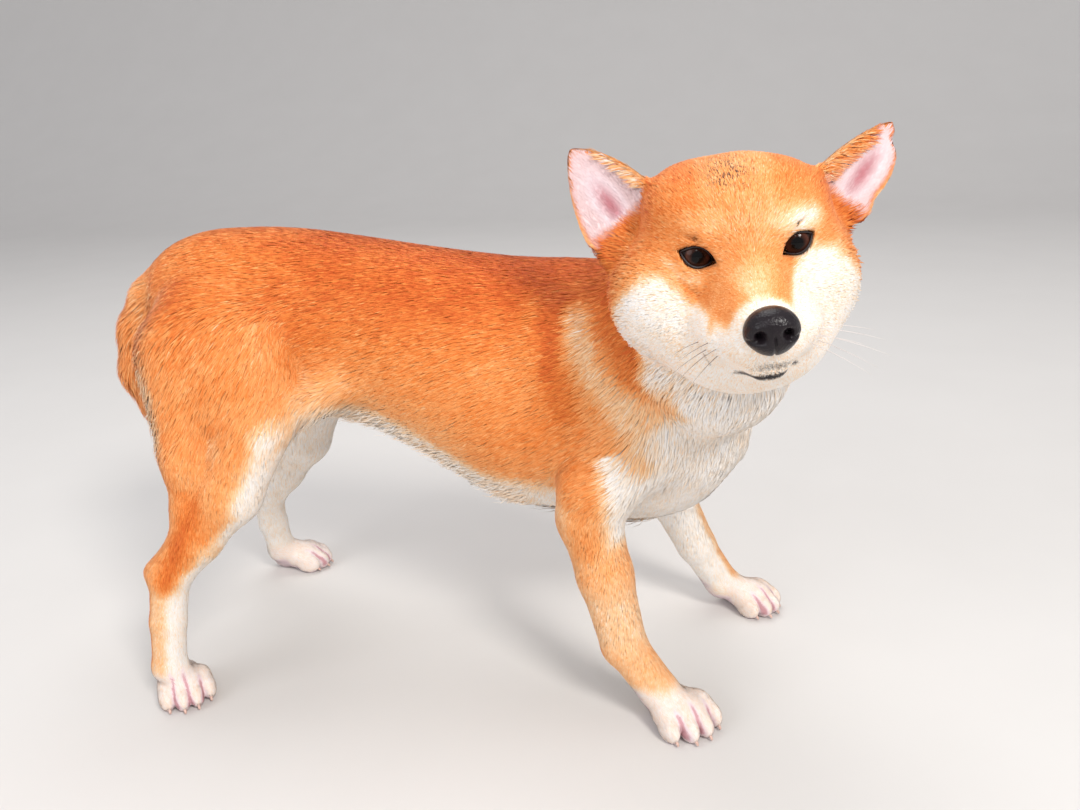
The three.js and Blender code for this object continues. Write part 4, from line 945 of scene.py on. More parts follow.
def red_and_cream(where):
    x, z, n = where.x, where.z, where.n
    hx, hy, hz = where.h.T
    tone = leg_markings(where, trunk_markings(where))
    bib = rise(n[:, 0] + 0.35 * rise(x, 150, 190), 0.15, 0.6) * rise(292 - z, -12, 22)
    tone = mix(tone, 0.96, where.chest * bib)
    neck_tone = mix(mix(0.44, 0.16, rise(z, 285, 345)), 0.62, rise(x, 145, 185) * rise(-z, -330, -300))
    tone = mix(tone, neck_tone, where.neck * (1 - where.chest * bib))
    bound = np.interp(z, (170, 200, 231, 240, 265, 290, 320), (142, 147, 144, 165, 182, 200, 240))
    tone = mix(tone, 0.96, rise(x - bound, -7, 9) * rise(325 - z, 0, 25) * rise(z, 150, 170))
    for path, width, value, strength in NECK_STROKES:
        tone = mix(tone, value, near_path(where.p, path, width) * strength * (1 - where.head))
    tail_tone = mix(0.42, 0.75, rise(n[:, 0], 0.1, 0.7) * 0.8)
    tone = mix(tone, tail_tone, where.tail)
    tone = mix(tone, face_markings(where), where.head)
    under_jaw = rise(-hz, 70, 92) * rise(hx, -32, -10) * rise(hy, -42, -20) * rise(x, 150, 180)
    tone = mix(tone, 0.96, under_jaw)
    return mix(tone, where.ear_tone, where.ear * (1 - where.inner_ear * (1 - where.ear_edge)))


def dark_of_face(where):
    """The lips, the grey bristles over them with painted shade under the nose, the rims of the eyes and
    the whiskers' beds.
    """
    hx, hy, hz = where.h.T
    across = np.abs(hy - 2)
    lips = np.exp(-((hz + 56 + 5 * (across / 18) ** 2) / 3.2) ** 2)
    lips = lips * rise(25 - across, 0, 12) * rise(hx, 54, 66)
    # Greyer under the nose pad: the muzzle's bristles, and painted shade under the nose
    stubble_and_shade = np.exp(-((hy - 2) / 19) ** 2 - ((hz + 50) / 6) ** 2) * rise(hx, 78, 92)
    dark = np.maximum(lips * 0.95, stubble_and_shade * 0.62)
    for path, width, strength in DARK_STROKES:
        dark = np.maximum(dark, near_path(where.h, path, width) * strength)
    for s in SIDES.values():
        along, over = eye_axes(s)
        q = where.h - eye_centre(s)
        u, v = q @ along / EYE["opening"][0], q @ over
        rim = (np.abs(v) / EYE["opening"][1] + u * u - 1) * EYE["opening"][1] * EYE["steep"]
        close = rise(14.5 - np.linalg.norm(q, axis=1), 0, 1) * rise(q[:, 0], 0, 2)
        dark = np.maximum(dark, close * rise(1.5 - rim, 0, 1.4))
        corner = np.linalg.norm(where.h - EYE_CORNERS[s], axis=1)
        dark = np.maximum(dark, rise(4.2 - corner, 0, 3))
    spots = rise(np.sin(hz * 2.1 + hx * 1.3) * np.sin(hx * 1.7 - hz * 1.1), 0.82, 0.95)
    bed = spots * rise(12 - np.abs(hz + 44), 0, 4) * rise(hx, 70, 78) * rise(98 - hx, 0, 4)
    dark = np.maximum(dark, bed * 0.5 * rise(np.abs(hy), 14, 20))
    return np.clip(dark, 0, 1) * where.head


def bare_pink(where):
    """The bare skin inside the ears, between the toes and under the paws; the deeper pink in the ears'
    hollows and the toes' clefts is partly painted shade.
    """
    pink = where.inner_ear * np.clip(0.42 + 0.55 * where.ear_deep_pink_and_shade, 0, 1) * (1 - 0.85 * where.ear_edge)
    pink = np.maximum(pink, between_toes(where) * 0.85)
    return np.maximum(pink, where.paw * rise(-where.n[:, 2], 0.2, 0.6) * 0.5)


def markings(where):
    """Tone of the coat, and how dark and how pink it is, at some places."""
    values = (red_and_cream(where), dark_of_face(where), bare_pink(where))
    return {key: np.clip(value, 0, 1) for key, value in zip(("tone", "dark", "pink"), values)}


# Materials


def material(name):
    made = bpy.data.materials.new(name)
    made.use_nodes = True
    nodes = made.node_tree.nodes
    return made, nodes, made.node_tree.links, nodes["Principled BSDF"]


def node(nodes, kind, **values):
    made = nodes.new(kind)
    for key, value in values.items():
        if key in made.inputs:
            made.inputs[key].default_value = value
        else:
            setattr(made, key, value)
    return made


def attribute(nodes, name):
    return node(nodes, "ShaderNodeAttribute", attribute_name=name).outputs["Fac"]


def noise(nodes, links, coordinates, scale, detail=3.0):
    made = node(nodes, "ShaderNodeTexNoise", Scale=scale, Detail=detail)
    links.new(coordinates.outputs["Object"], made.inputs["Vector"])
    return made


def join(links, sockets, values):
    """Links each value that is a socket, and sets each that is a constant."""
    for socket, value in zip(sockets, values):
        if isinstance(value, (int, float, tuple)):
            socket.default_value = value
        else:
            links.new(value, socket)


def added(nodes, links, a, b):
    made = node(nodes, "ShaderNodeMath", operation="ADD")
    join(links, made.inputs, (a, b))
    return made.outputs[0]


def scaled_and_moved(nodes, links, value, scale, move, clamp=False):
    made = node(nodes, "ShaderNodeMath", operation="MULTIPLY_ADD", use_clamp=clamp)
    join(links, made.inputs, (value, scale, move))
    return made.outputs[0]


def blend_colours(nodes, links, factor, a, b):
    made = node(nodes, "ShaderNodeMix", data_type="RGBA")
    join(links, (made.inputs[0], made.inputs[6], made.inputs[7]), (factor, a, b))
    return made.outputs[2]


def ramp(nodes, links, value, colours):
    """Colours at places along a value."""
    made = node(nodes, "ShaderNodeValToRGB")
    elements = made.color_ramp.elements
    while len(elements) < len(colours):
        elements.new(0.5)
    for element, (place, colour) in zip(elements, colours):
        element.position = place
        element.color = colour
    links.new(value, made.inputs["Fac"])
    return made.outputs["Color"]


def relief(nodes, links, height, shader, strength, distance):
    bump = node(nodes, "ShaderNodeBump", Strength=strength, Distance=distance)
    links.new(height, bump.inputs["Height"])
    links.new(bump.outputs["Normal"], shader.inputs["Normal"])


def finish(shader, **values):
    """Sets constants on the shader, each named after its socket."""
    for key, value in values.items():
        shader.inputs[key.replace("_", " ")].default_value = value


# From the deep red of the back to cream
TONES = (
    (0.0, (0.47, 0.070, 0.008, 1)),
    (0.12, (0.58, 0.105, 0.014, 1)),
    (0.3, (0.74, 0.205, 0.036, 1)),
    (0.5, (0.84, 0.360, 0.120, 1)),
    (0.72, (0.87, 0.570, 0.320, 1)),
    (0.9, (0.88, 0.780, 0.670, 1)),
    (1.0, (0.89, 0.860, 0.830, 1)),
)
# Pale pink and deep pink; the deep pink also stands for painted shade in the ears' hollows and the toes'
# clefts
PINKS = ((0.84, 0.69, 0.71, 1), (0.54, 0.19, 0.22, 1))
DARK = (0.022, 0.018, 0.020, 1)
# Mottling of the coat's tone: scale and strength
MOTTLING = ((20, 0.2), (85, 0.16), (330, 0.1))


def coat_material(name, tufts):
    """The markings' colours with mottling, with painted shade at the tufts' roots and painted light at
    their tips, or with a fine grain on the skin.
    """
    made, nodes, links, shader = material(name)
    coordinates = node(nodes, "ShaderNodeTexCoord")
    tone = attribute(nodes, "tone")
    for scale, strength in MOTTLING:
        patches = noise(nodes, links, coordinates, scale, 3)
        mottle = scaled_and_moved(nodes, links, patches.outputs["Fac"], strength, -strength / 2)
        tone = added(nodes, links, tone, mottle)
    if tufts:
        tone = added(nodes, links, tone, attribute(nodes, "shade"))
        tip = attribute(nodes, "tip")
        tone = added(nodes, links, tone, scaled_and_moved(nodes, links, tip, -0.07, 0.035))
    colour = ramp(nodes, links, tone, TONES)
    pink = attribute(nodes, "pink")
    flush = blend_colours(nodes, links, scaled_and_moved(nodes, links, pink, 2.0, -1.0, True), *PINKS)
    share = scaled_and_moved(nodes, links, pink, 2.0, 0.0, True)
    colour = blend_colours(nodes, links, share, colour, flush)
    speckle = noise(nodes, links, coordinates, 900, 2)
    gaps = scaled_and_moved(nodes, links, speckle.outputs["Fac"], -0.8, 0.0)
    dark = added(nodes, links, attribute(nodes, "dark"), gaps)
    dark = scaled_and_moved(nodes, links, dark, 2.3, 0.0, True)
    colour = blend_colours(nodes, links, dark, colour, DARK)
    if tufts:
        # Painted shade and light: the tufts' colour is scaled from 0.9 at the roots, where they overlap,
        # to 1.06 at the tips
        light = scaled_and_moved(nodes, links, tip, 0.16, 0.9)
        scaled = node(nodes, "ShaderNodeVectorMath", operation="SCALE")
        join(links, (scaled.inputs[0], scaled.inputs["Scale"]), (colour, light))
        colour = scaled.outputs[0]
    else:
        grain = noise(nodes, links, coordinates, 420, 4)
        relief(nodes, links, grain.outputs["Fac"], shader, 0.5, 0.0008)
    links.new(colour, shader.inputs["Base Color"])
    finish(shader, Roughness=0.6, Specular_IOR_Level=0.22, Sheen_Weight=0.08, Sheen_Roughness=0.4)
    return made


def mottled(name, low, high, scale, roughness):
    """A material of two colours that run into each other."""
    made, nodes, links, shader = material(name)
    place = node(nodes, "ShaderNodeTexCoord")
    tint = noise(nodes, links, place, scale)
    colour = blend_colours(nodes, links, tint.outputs["Fac"], low, high)
    links.new(colour, shader.inputs["Base Color"])
    finish(shader, Roughness=roughness)
    return made


def leather(name, low, high, roughness, scale, gloss=0.4):
    """Mottled, with a relief of small cells."""
    made = mottled(name, low, high, 140, roughness)
    nodes, links = made.node_tree.nodes, made.node_tree.links
    shader = nodes["Principled BSDF"]
    cells = node(nodes, "ShaderNodeTexVoronoi", Scale=scale)
    links.new(nodes["Texture Coordinate"].outputs["Object"], cells.inputs["Vector"])
    relief(nodes, links, cells.outputs["Distance"], shader, 0.45, 0.0004)
    finish(shader, Specular_IOR_Level=gloss)
    return made


# Skin

coat_field, skin_field = grid_fields()
skin_points, skin_quads = surface(skin_field)
skin_points = settle(skin_points, skin_quads, skin_field)
skin_normals = slope_at(skin_field, skin_points, NORMAL_STEP)
skin = mesh_object("skin", skin_points, skin_quads)
for key, values in markings(Places(skin_points, skin_normals)).items():
    give(skin, key, values)
skin.data.materials.append(coat_material("skin", False))
PAIRED = ("upper_arm", "forearm", "fore_paw", "thigh", "shank", "hind_paw")
FLESH = [
    "head", "neck", "chest", "loin", "tail_root", "tail_middle", "tail_tip", "ear_right", "ear_left",
    *[f"{part}_{side}" for side in SIDES for part in PAIRED],
]
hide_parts(*FLESH)

# Coat


# The way the hair lies, in the dog's frame: regions laid one over the other
LIES = {
    "neck": (-0.75, 0.25, -0.75), "chest": (-0.15, 0, -1), "thigh": (-0.55, 0, -1), "leg": (-0.15, 0, -1),
}


def lie_of(where):
    count = len(where.p)
    lie = np.tile(vec(-1, 0, -0.25), (count, 1))
    lie[:, 2] -= 0.35 * rise(-where.z, -330, -230)
    lie = unit(lie)
    turns = [(way, getattr(where, region)) for region, way in LIES.items()]
    for paw in PAWS.values():
        ahead = paw_frame(paw)[0]
        mine = where.paw * (np.linalg.norm(where.p[:, :2] - paw["at"], axis=1) < 60)
        turns.append((ahead + (0, 0, -0.5), mine))
    places = np.array([at for at, _ in TAIL], float)
    steps = np.gradient(places, axis=0)
    down_tail = np.stack([np.interp(-where.z, -places[:, 2], step) for step in steps.T], 1)
    turns.append((down_tail, where.tail))
    _, hy, hz = where.h.T
    back = np.stack([np.full(count, -1.0), hy / 70, (hz + 10) / 70 - 0.15], 1)
    turns.append((back @ HEAD_AXES.T, where.head))
    for side, s in SIDES.items():
        up, out, _ = ear_frame(EARS[side])
        mine = where.ear * (hy * s > 0)
        turns.append((up @ HEAD_AXES.T, mine))
        turns.append(((up * 0.55 + out) @ HEAD_AXES.T, mine * where.ear_edge))
    for way, share in turns:
        lie = mix(lie, unit(way), share[:, None])
    return lie


# The tufts' length and width, and how far their tips stand out from the coat's outer surface:
# regions laid one over the other
BODY_HAIR = (15.0, 1.15, -0.2)
HAIR = {
    "neck": (18, 1.3, 0.4), "chest": (19, 1.3, 0.5), "belly": (22, 1.25, 3.0), "thigh": (16, 1.2, 0.1),
    "breeches": (22, 1.3, 2.8), "leg": (9, 1.0, 0.0), "foot": (6, 0.85, 0.0), "head": (10, 0.95, 0.4),
    "cheek": (14, 1.1, 1.6), "face": (5, 0.75, -0.1), "muzzle": (3.4, 0.62, -0.1), "ear": (4.5, 0.7, 0.2),
    "ear_edge": (11, 0.7, 3.0), "paw": (4.2, 0.8, 0.1), "tail": (24, 1.5, 0.4),
}


def hair_size(where):
    sizes = np.tile(vec(*BODY_HAIR)[:, None], len(where.p))
    for region, values in HAIR.items():
        sizes = mix(sizes, vec(*values)[:, None], getattr(where, region))
    return sizes


# A tuft's rings along its length: place, share of its climb off the skin, share of its width
SHORT_TUFT = ((0.0, 0.0, 0.85), (0.5, 0.75, 1.0), (1.0, 1.0, 0.0))
LONG_TUFT = ((0.0, 0.0, 0.7), (0.35, 0.55, 1.0), (0.7, 0.85, 0.75), (1.0, 1.0, 0.0))
TUFT_ROUND = 0.15
TUFT_SINK = 0.4
TUFT_UV = 0.003
FLOOR_GAP = 0.2
MOST_TRIANGLES = 195000
COVER = 6.2
# How much thicker the cover is
THICKER = {"tail": 1.6, "ruff": 0.3}
# Tips that stray out of the coat, in millimetres
STRAY = {"belly": 3.2, "cheek": 1.0, "breeches": 2.2, "tail": -2.5}

quad_corners = skin_points[skin_quads]
quad_middles = quad_corners.mean(1)
diagonals = np.cross(quad_corners[:, 2] - quad_corners[:, 0], quad_corners[:, 3] - quad_corners[:, 1])
quad_areas = np.linalg.norm(diagonals, axis=1) / 2
quad_normals = slope_at(skin_field, quad_middles, NORMAL_STEP)
quad_places = Places(quad_middles, quad_normals)
quad_long, quad_wide, _ = hair_size(quad_places)
bare = quad_places.inner_ear * 0.75 * (1 - quad_places.ear_edge)
ruff = np.maximum(quad_places.chest, quad_places.neck)
extra = 1 + THICKER["tail"] * quad_places.tail + THICKER["ruff"] * ruff
tufts_wanted = quad_areas * COVER / (quad_long * quad_wide * 0.8) * (1 - bare) * extra


# The skin's unwrap: millimetres between charts, and the sheet's width over that of a full square
CHART_GAP = 4
CHART_SPARE = 1.15


def unwrap():
    """A flat place for each quad: charts by part and by the way they face, set side by side."""
    where = quad_places
    part = np.zeros(len(quad_middles), int)
    part[where.head > 0.5] = 1
    part[(where.ear > 0.5) & (where.h[:, 1] < 0)] = 2
    part[(where.ear > 0.5) & (where.h[:, 1] > 0)] = 3
    part[where.tail > 0.5] = 4
    for number, key in enumerate(where.legs):
        part[where.legs[key] > 0.5] = 5 + number
    facing = np.abs(quad_normals).argmax(1)
    sign = np.take_along_axis(quad_normals, facing[:, None], 1)[:, 0] > 0
    chart = part * 6 + facing * 2 + sign
    uv = np.zeros((len(quad_middles), 4, 2))
    for axis in range(3):
        mine = facing == axis
        others = [a for a in range(3) if a != axis]
        uv[mine] = quad_corners[mine][:, :, others]
    names = np.unique(chart)
    boxes = []
    for name in names:
        mine = chart == name
        low = uv[mine].reshape(-1, 2).min(0)
        uv[mine] -= low
        boxes.append(uv[mine].reshape(-1, 2).max(0))
    order = np.argsort([-box[1] for box in boxes])
    width = math.sqrt(sum(box[0] * box[1] for box in boxes)) * CHART_SPARE
    cursor, row, tall = 0.0, 0.0, 0.0
    shift = np.zeros((names.max() + 1, 2))
    for index in order:
        box = boxes[index] + CHART_GAP
        if cursor + box[0] > width:
            cursor, row, tall = 0.0, row + tall, 0.0
        shift[names[index]] = (cursor, row)
        cursor += box[0]
        tall = max(tall, box[1])
    uv += shift[chart][:, None]
    return uv / max(width, row + tall)


quad_uv = unwrap()
skin_uv = skin.data.uv_layers.new(name="OFBake")
skin_uv.data.foreach_set("uv", quad_uv.reshape(-1).astype(np.float32))


def in_quads(corners, split):
    """Values inside quads from those at their corners and two shares for each."""
    first = mix(corners[:, 0], corners[:, 1], split[:, 0])
    second = mix(corners[:, 3], corners[:, 2], split[:, 0])
    return mix(first, second, split[:, 1])


def ear_facing(where):
    """The way the ears' faces look, for tufts whose light would flicker along a thin edge."""
    faces = where.n.copy()
    for side, s in SIDES.items():
        forward = ear_frame(EARS[side])[2] @ HEAD_AXES.T
        facing = np.where(where.n @ forward > -0.5, 1.0, -1.0)[:, None] * forward
        faces = mix(faces, facing, (where.ear * (where.h[:, 1] * s > 0))[:, None])
    return faces


def tuft_rings(where, random, tuft):
    """The tufts' points, ring by ring from root to tip, and the ways they are lit from."""
    count = len(where.p)
    long, wide, stand = hair_size(where)
    long = long * random.uniform(0.75, 1.2, count)
    wide = wide * random.uniform(0.7, 1.25, count)
    stand = stand + random.normal(0, 0.15, count) * np.clip(long / 14, 0.2, 1.6)
    stray = sum(reach * getattr(where, region) for region, reach in STRAY.items())
    stand = stand + np.abs(random.normal(0, 1, count)) * stray
    lie = unit(lie_of(where)) + random.normal(0, 0.09, (count, 3))
    sink = sample(coat_field, where.p)
    aside = np.stack([np.zeros(count), where.side * where.belly, 0.5 * where.belly], 1)
    faces = ear_facing(where)
    at = where.p.copy()
    reached = 0.0
    rings, lit = [], []
    for t, climb, width in tuft:
        out = slope_at(coat_field, at)
        along = unit(lie - out * (lie * out).sum(1, keepdims=True))
        at = at + along * (long * (t - reached))[:, None]
        reached = t
        out = slope_at(coat_field, at)
        want = mix(sink, stand, climb)
        at = at + out * np.clip(want - sample(coat_field, at), -12, 12)[:, None]
        at[:, 2] = np.maximum(at[:, 2], 0.3)
        if t == 0:
            at = where.p - out * TUFT_SINK
        across = unit(np.cross(out, along))
        facing = mix(out + aside, faces, where.ear[:, None])
        if width > 0:
            half = (wide * width / 2)[:, None]
            tilt = out * random.normal(0, 0.08, (count, 1)) * half
            rings += [at + across * half + tilt, at - across * half - tilt]
            lit += [facing + across * TUFT_ROUND, facing - across * TUFT_ROUND]
        else:
            rings.append(at)
            lit.append(facing)
    points = np.stack(rings, 1)
    points[:, :, 2] = np.maximum(points[:, :, 2], FLOOR_GAP)
    return points, unit(np.stack(lit, 1))


def tuft_values(where, random):
    """The markings at the tufts' roots, with a shade of its own for each tuft."""
    count = len(where.p)
    values = markings(where)
    shade = random.normal(0, 0.05, count) * (1 + 0.5 * where.head + 1.5 * where.ear_edge)
    shade = shade + (random.random(count) < 0.12) * 0.13 * rise(where.z, 260, 320) * (1 - where.head)
    hx, hy, hz = where.h.T
    brow = np.exp(-((hy + 6) / 22) ** 2 - ((hz - 46) / 13) ** 2) * rise(hx, -5, 12)
    ticks = (random.random(count) < 0.3) * brow * where.head * 0.8
    return {**values, "dark": np.maximum(values["dark"], ticks), "shade": shade}


def grow(name, chosen, random, slot, tuft):
    """One coat piece: tufts rooted in the chosen quads."""
    count = len(chosen)
    split = random.random((count, 2, 1))
    roots = in_quads(quad_corners[chosen], split)
    root_uv = in_quads(quad_uv[chosen], split)
    where = Places(roots, slope_at(skin_field, roots, NORMAL_STEP))
    points, lit = tuft_rings(where, random, tuft)
    per = points.shape[1]
    base = np.arange(count)[:, None] * per
    quads = np.concatenate([base + np.array([k, k + 1, k + 3, k + 2]) for k in range(0, per - 3, 2)])
    tips = base + np.array([per - 3, per - 2, per - 1])
    obj = mesh_object(name, points.reshape(-1, 3), quads, tips)
    shading = obj.data.attributes.new("custom_normal", "FLOAT_VECTOR", "POINT")
    shading.data.foreach_set("vector", lit.astype(np.float32).reshape(-1))
    for key, values in tuft_values(where, random).items():
        give(obj, key, np.repeat(values, per))
    stages = np.array([t for t, _, _ in tuft])
    give(obj, "tip", np.tile(np.repeat(stages, 2)[:-1], count))
    patch = np.array([(side, t) for t in stages for side in (-0.5, 0.5)])[:-1] * TUFT_UV
    point_uv = (root_uv[:, None] + patch[None]).reshape(-1, 2)
    layer = obj.data.uv_layers.new(name="OFBake")
    loops = np.concatenate([quads.reshape(-1), tips.reshape(-1)])
    layer.data.foreach_set("uv", point_uv[loops].reshape(-1).astype(np.float32))
    obj.data.materials.append(coat_material(name, True))


# The coat's pieces: name, slot and tuft
COATS = (
    ("coat_chest", "coat_red", LONG_TUFT), ("coat_loin", "coat_red", SHORT_TUFT),
    ("coat_legs", "coat_sand", SHORT_TUFT), ("coat_thighs", "coat_sand", SHORT_TUFT),
    ("coat_neck", "coat_red", LONG_TUFT), ("coat_head", "coat_red", SHORT_TUFT),
    ("coat_tail", "coat_red", LONG_TUFT),
)
FIRST_SEED = 40


def coats():
    """The pieces' regions are laid one over the other, in the pieces' order."""
    where = quad_places
    region = np.zeros(len(quad_middles), int)
    takes = (where.x < -20, where.z < 200, *[share > 0.5 for share in (
        where.thigh, where.neck, where.head, where.tail,
    )])
    for number, taken in enumerate(takes, 1):
        region[taken] = number
    for number, (name, slot, tuft) in enumerate(COATS):
        random = np.random.default_rng(FIRST_SEED + number)
        mine = np.nonzero(region == number)[0]
        wanted = tufts_wanted[mine]
        count = int(wanted.sum())
        pieces = math.ceil(count * (2 * len(tuft) - 3) / MOST_TRIANGLES)
        chosen = random.choice(mine, count, p=wanted / wanted.sum())
        for piece, share in enumerate(np.array_split(chosen, pieces)):
            label = name if pieces == 1 else f"{name}_{piece + 1}"
            grow(label, share, random, slot, tuft)


coats()

# Eyes, from the pupil's middle outwards

EYE_RINGS = 40
EYE_SIDES = 48
IRIS = (
    (0.0, (0.002, 0.002, 0.002, 1)),
    (0.27, (0.003, 0.002, 0.002, 1)),
    (0.36, (0.030, 0.010, 0.006, 1)),
    (0.56, (0.075, 0.024, 0.014, 1)),
    (0.68, (0.010, 0.005, 0.004, 1)),
    (0.9, (0.045, 0.030, 0.028, 1)),
)


def ring_surface(name, rings):
    """A surface through rings of points, the first and last of which may be single points."""
    starts = np.concatenate([[0], np.cumsum([len(ring) for ring in rings])])
    sides = max(len(ring) for ring in rings)
    quads, triangles = [], []
    for i, (a, b) in enumerate(zip(rings, rings[1:])):
        for k in range(sides):
            after = (k + 1) % sides
            if len(a) == 1:
                triangles.append((starts[i], starts[i + 1] + after, starts[i + 1] + k))
            elif len(b) == 1:
                triangles.append((starts[i] + k, starts[i] + after, starts[i + 1]))
            else:
                quads.append((starts[i] + k, starts[i] + after, starts[i + 1] + after, starts[i + 1] + k))
    return mesh_object(name, np.concatenate(rings), np.array(quads), np.array(triangles))


def ball_ring(angle, sides):
    """A ring on a ball of radius 1, at an angle from the way ahead."""
    turn = np.linspace(0, 2 * math.pi, sides, endpoint=False)
    ahead = np.full(sides, math.cos(angle))
    return np.stack([ahead, math.sin(angle) * np.cos(turn), math.sin(angle) * np.sin(turn)], 1)


def eyeball(side):
    centre = eye_centre(SIDES[side])
    radius = EYE["radius"]
    rings = []
    for angle in np.linspace(0, math.pi, EYE_RINGS)[1:-1]:
        rings.append(from_head(centre + ball_ring(angle, EYE_SIDES) * radius))
    front, back = (from_head(centre + [[way * radius, 0, 0]]) for way in (1, -1))
    return ring_surface(f"eye_{side}_ball", [front, *rings, back])


def eye_material(side):
    """Pupil, iris, its dark rim and the white, by how far a place is from the eye's front."""
    made, nodes, links, shader = material(f"eye_{side}")
    front = to_row(from_head(eye_centre(SIDES[side]) + (EYE["radius"], 0, 0)))
    place = node(nodes, "ShaderNodeTexCoord")
    apart = node(nodes, "ShaderNodeVectorMath", operation="DISTANCE")
    join(links, apart.inputs, (place.outputs["Object"], tuple(front)))
    streaks = noise(nodes, links, place, 900, 4)
    wobble = scaled_and_moved(nodes, links, streaks.outputs["Fac"], 0.0012, -0.0006)
    reach = added(nodes, links, apart.outputs["Value"], wobble)
    colour = ramp(nodes, links, scaled_and_moved(nodes, links, reach, 80.0, 0.0), IRIS)
    links.new(colour, shader.inputs["Base Color"])
    finish(shader, Roughness=0.06, Specular_IOR_Level=0.16)
    return made


def tube(path, radii, sides=10):
    """Rings of points around a path."""
    path = np.asarray(path, float)
    turn = np.linspace(0, 2 * math.pi, sides, endpoint=False)[:, None]
    rings = []
    for place, heading, radius in zip(path, unit(np.gradient(path, axis=0)), radii):
        u = unit(np.cross(heading, TUBE_GUIDE))
        v = np.cross(heading, u)
        rings.append(place + radius * (np.cos(turn) * u + np.sin(turn) * v))
    return rings


def wall(first, rings, sides):
    """The quads between rings of as many points each, which follow one another from the first point."""
    quads = []
    for start in range(first, first + (rings - 1) * sides, sides):
        for k in range(sides):
            a, b = start + k, start + (k + 1) % sides
            quads.append((a, b, b + sides, a + sides))
    return quads


def joined(name, tubes):
    """One mesh from tubes with closed ends, each given as rings."""
    points, quads, triangles = [], [], []
    for rings in tubes:
        first = sum(len(ring) for ring in points)
        sides = len(rings[0])
        quads += wall(first, len(rings), sides)
        start = first + sides * len(rings)
        last = start - sides
        for k in range(sides):
            triangles.append((first + (k + 1) % sides, first + k, start))
            triangles.append((last + k, last + (k + 1) % sides, start + 1))
        points += [*rings, rings[0].mean(0)[None], rings[-1].mean(0)[None]]
    return mesh_object(name, np.concatenate(points), np.array(quads), np.array(triangles))


# A way that no tube runs along
TUBE_GUIDE = (0.13, 0.97, 0.2)
LID = {"radius": 11.4, "half": (10.3, 6.2), "thick": 0.8, "corner": 0.55, "steps": 28}


def lid_tubes(s):
    """The dark rims above and below an eye."""
    centre = eye_centre(s)
    along, over = eye_axes(s)
    tubes = []
    for side in (1, -1):
        path, radii = [], []
        for u in np.linspace(-1, 1, LID["steps"]):
            a, b = u * LID["half"][0], side * (1 - u * u) * LID["half"][1]
            depth = math.sqrt(LID["radius"] ** 2 - a * a - b * b)
            path.append(from_head(centre + vec(depth, 0, 0) + along * a + over * b))
            swell = (1 - LID["corner"]) * math.cos(u * math.pi / 2)
            radii.append(LID["thick"] * (LID["corner"] + swell))
        tubes.append(tube(path, radii))
    return tubes


LID_COLOURS = ((0.010, 0.007, 0.008, 1), (0.03, 0.02, 0.02, 1))

lids = joined("eyelids", [rings for s in SIDES.values() for rings in lid_tubes(s)])
lids.data.materials.append(leather("lid_leather", *LID_COLOURS, 0.45, 900))

# Whiskers: root and direction in the head's frame, and length
WHISKERS = (
    ((80, 27, -38), (0.25, 0.95, -0.10), 46), ((76, 29, -43), (0.10, 0.98, -0.28), 50),
    ((82, 25, -46), (0.30, 0.90, -0.42), 42), ((72, 31, -48), (0.00, 0.95, -0.45), 44),
    ((84, 23, -41), (0.45, 0.88, 0.02), 38), ((70, 32, -40), (-0.10, 1.00, -0.08), 40),
)
WHISKER = {"thick": 0.32, "tip": 0.06, "sag": (4, 0, 7), "sink": 5, "steps": 12, "sides": 6}
# By side: their length over that of the list, and their colours. The whiskers are one kind, dark on the
# right side as painted shade and pale on the left as painted light
WHISKER_SETS = {
    "right": (0.6, (0.30, 0.22, 0.18, 1), (0.10, 0.07, 0.06, 1)),
    "left": (1, (0.60, 0.52, 0.48, 1), (0.75, 0.70, 0.66, 1)),
}


def whisker_tubes(s, share):
    tubes = []
    for root, heading, long in WHISKERS:
        heading = unit(heading)
        path = []
        for t in np.linspace(0, 1, WHISKER["steps"]):
            sag = vec(*WHISKER["sag"]) * t * t
            place = vec(*root) - heading * WHISKER["sink"] + heading * (long * share) * t - sag
            path.append(from_head(place * (1, s, 1)))
        radii = np.linspace(WHISKER["thick"], WHISKER["tip"], WHISKER["steps"])
        tubes.append(tube(path, radii, WHISKER["sides"]))
    return tubes


for side, s in SIDES.items():
    share, shadow, pale = WHISKER_SETS[side]
    whiskers = joined(f"whiskers_{side}", whisker_tubes(s, share))
    whiskers.data.materials.append(leather(f"whisker_{side}", shadow, pale, 0.4, 500))

for side in SIDES:
    ball = eyeball(side)
    ball.data.materials.append(eye_material(side))
    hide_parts(f"eye_{side}")

# Nose

NOSE = {
    "at": vec(106.5, 1.5, -29.5), "radii": (13.4, 15.6, 13.8), "reach": 0.72, "rings": 64, "sides": 80,
    "taper": 0.1, "brow": 1.6, "pit": 8.0, "slit": 3.0, "wing": 1.0, "groove": 1.3,
}
NOSE_COLOURS = ((0.006, 0.004, 0.005, 1), (0.016, 0.011, 0.014, 1))


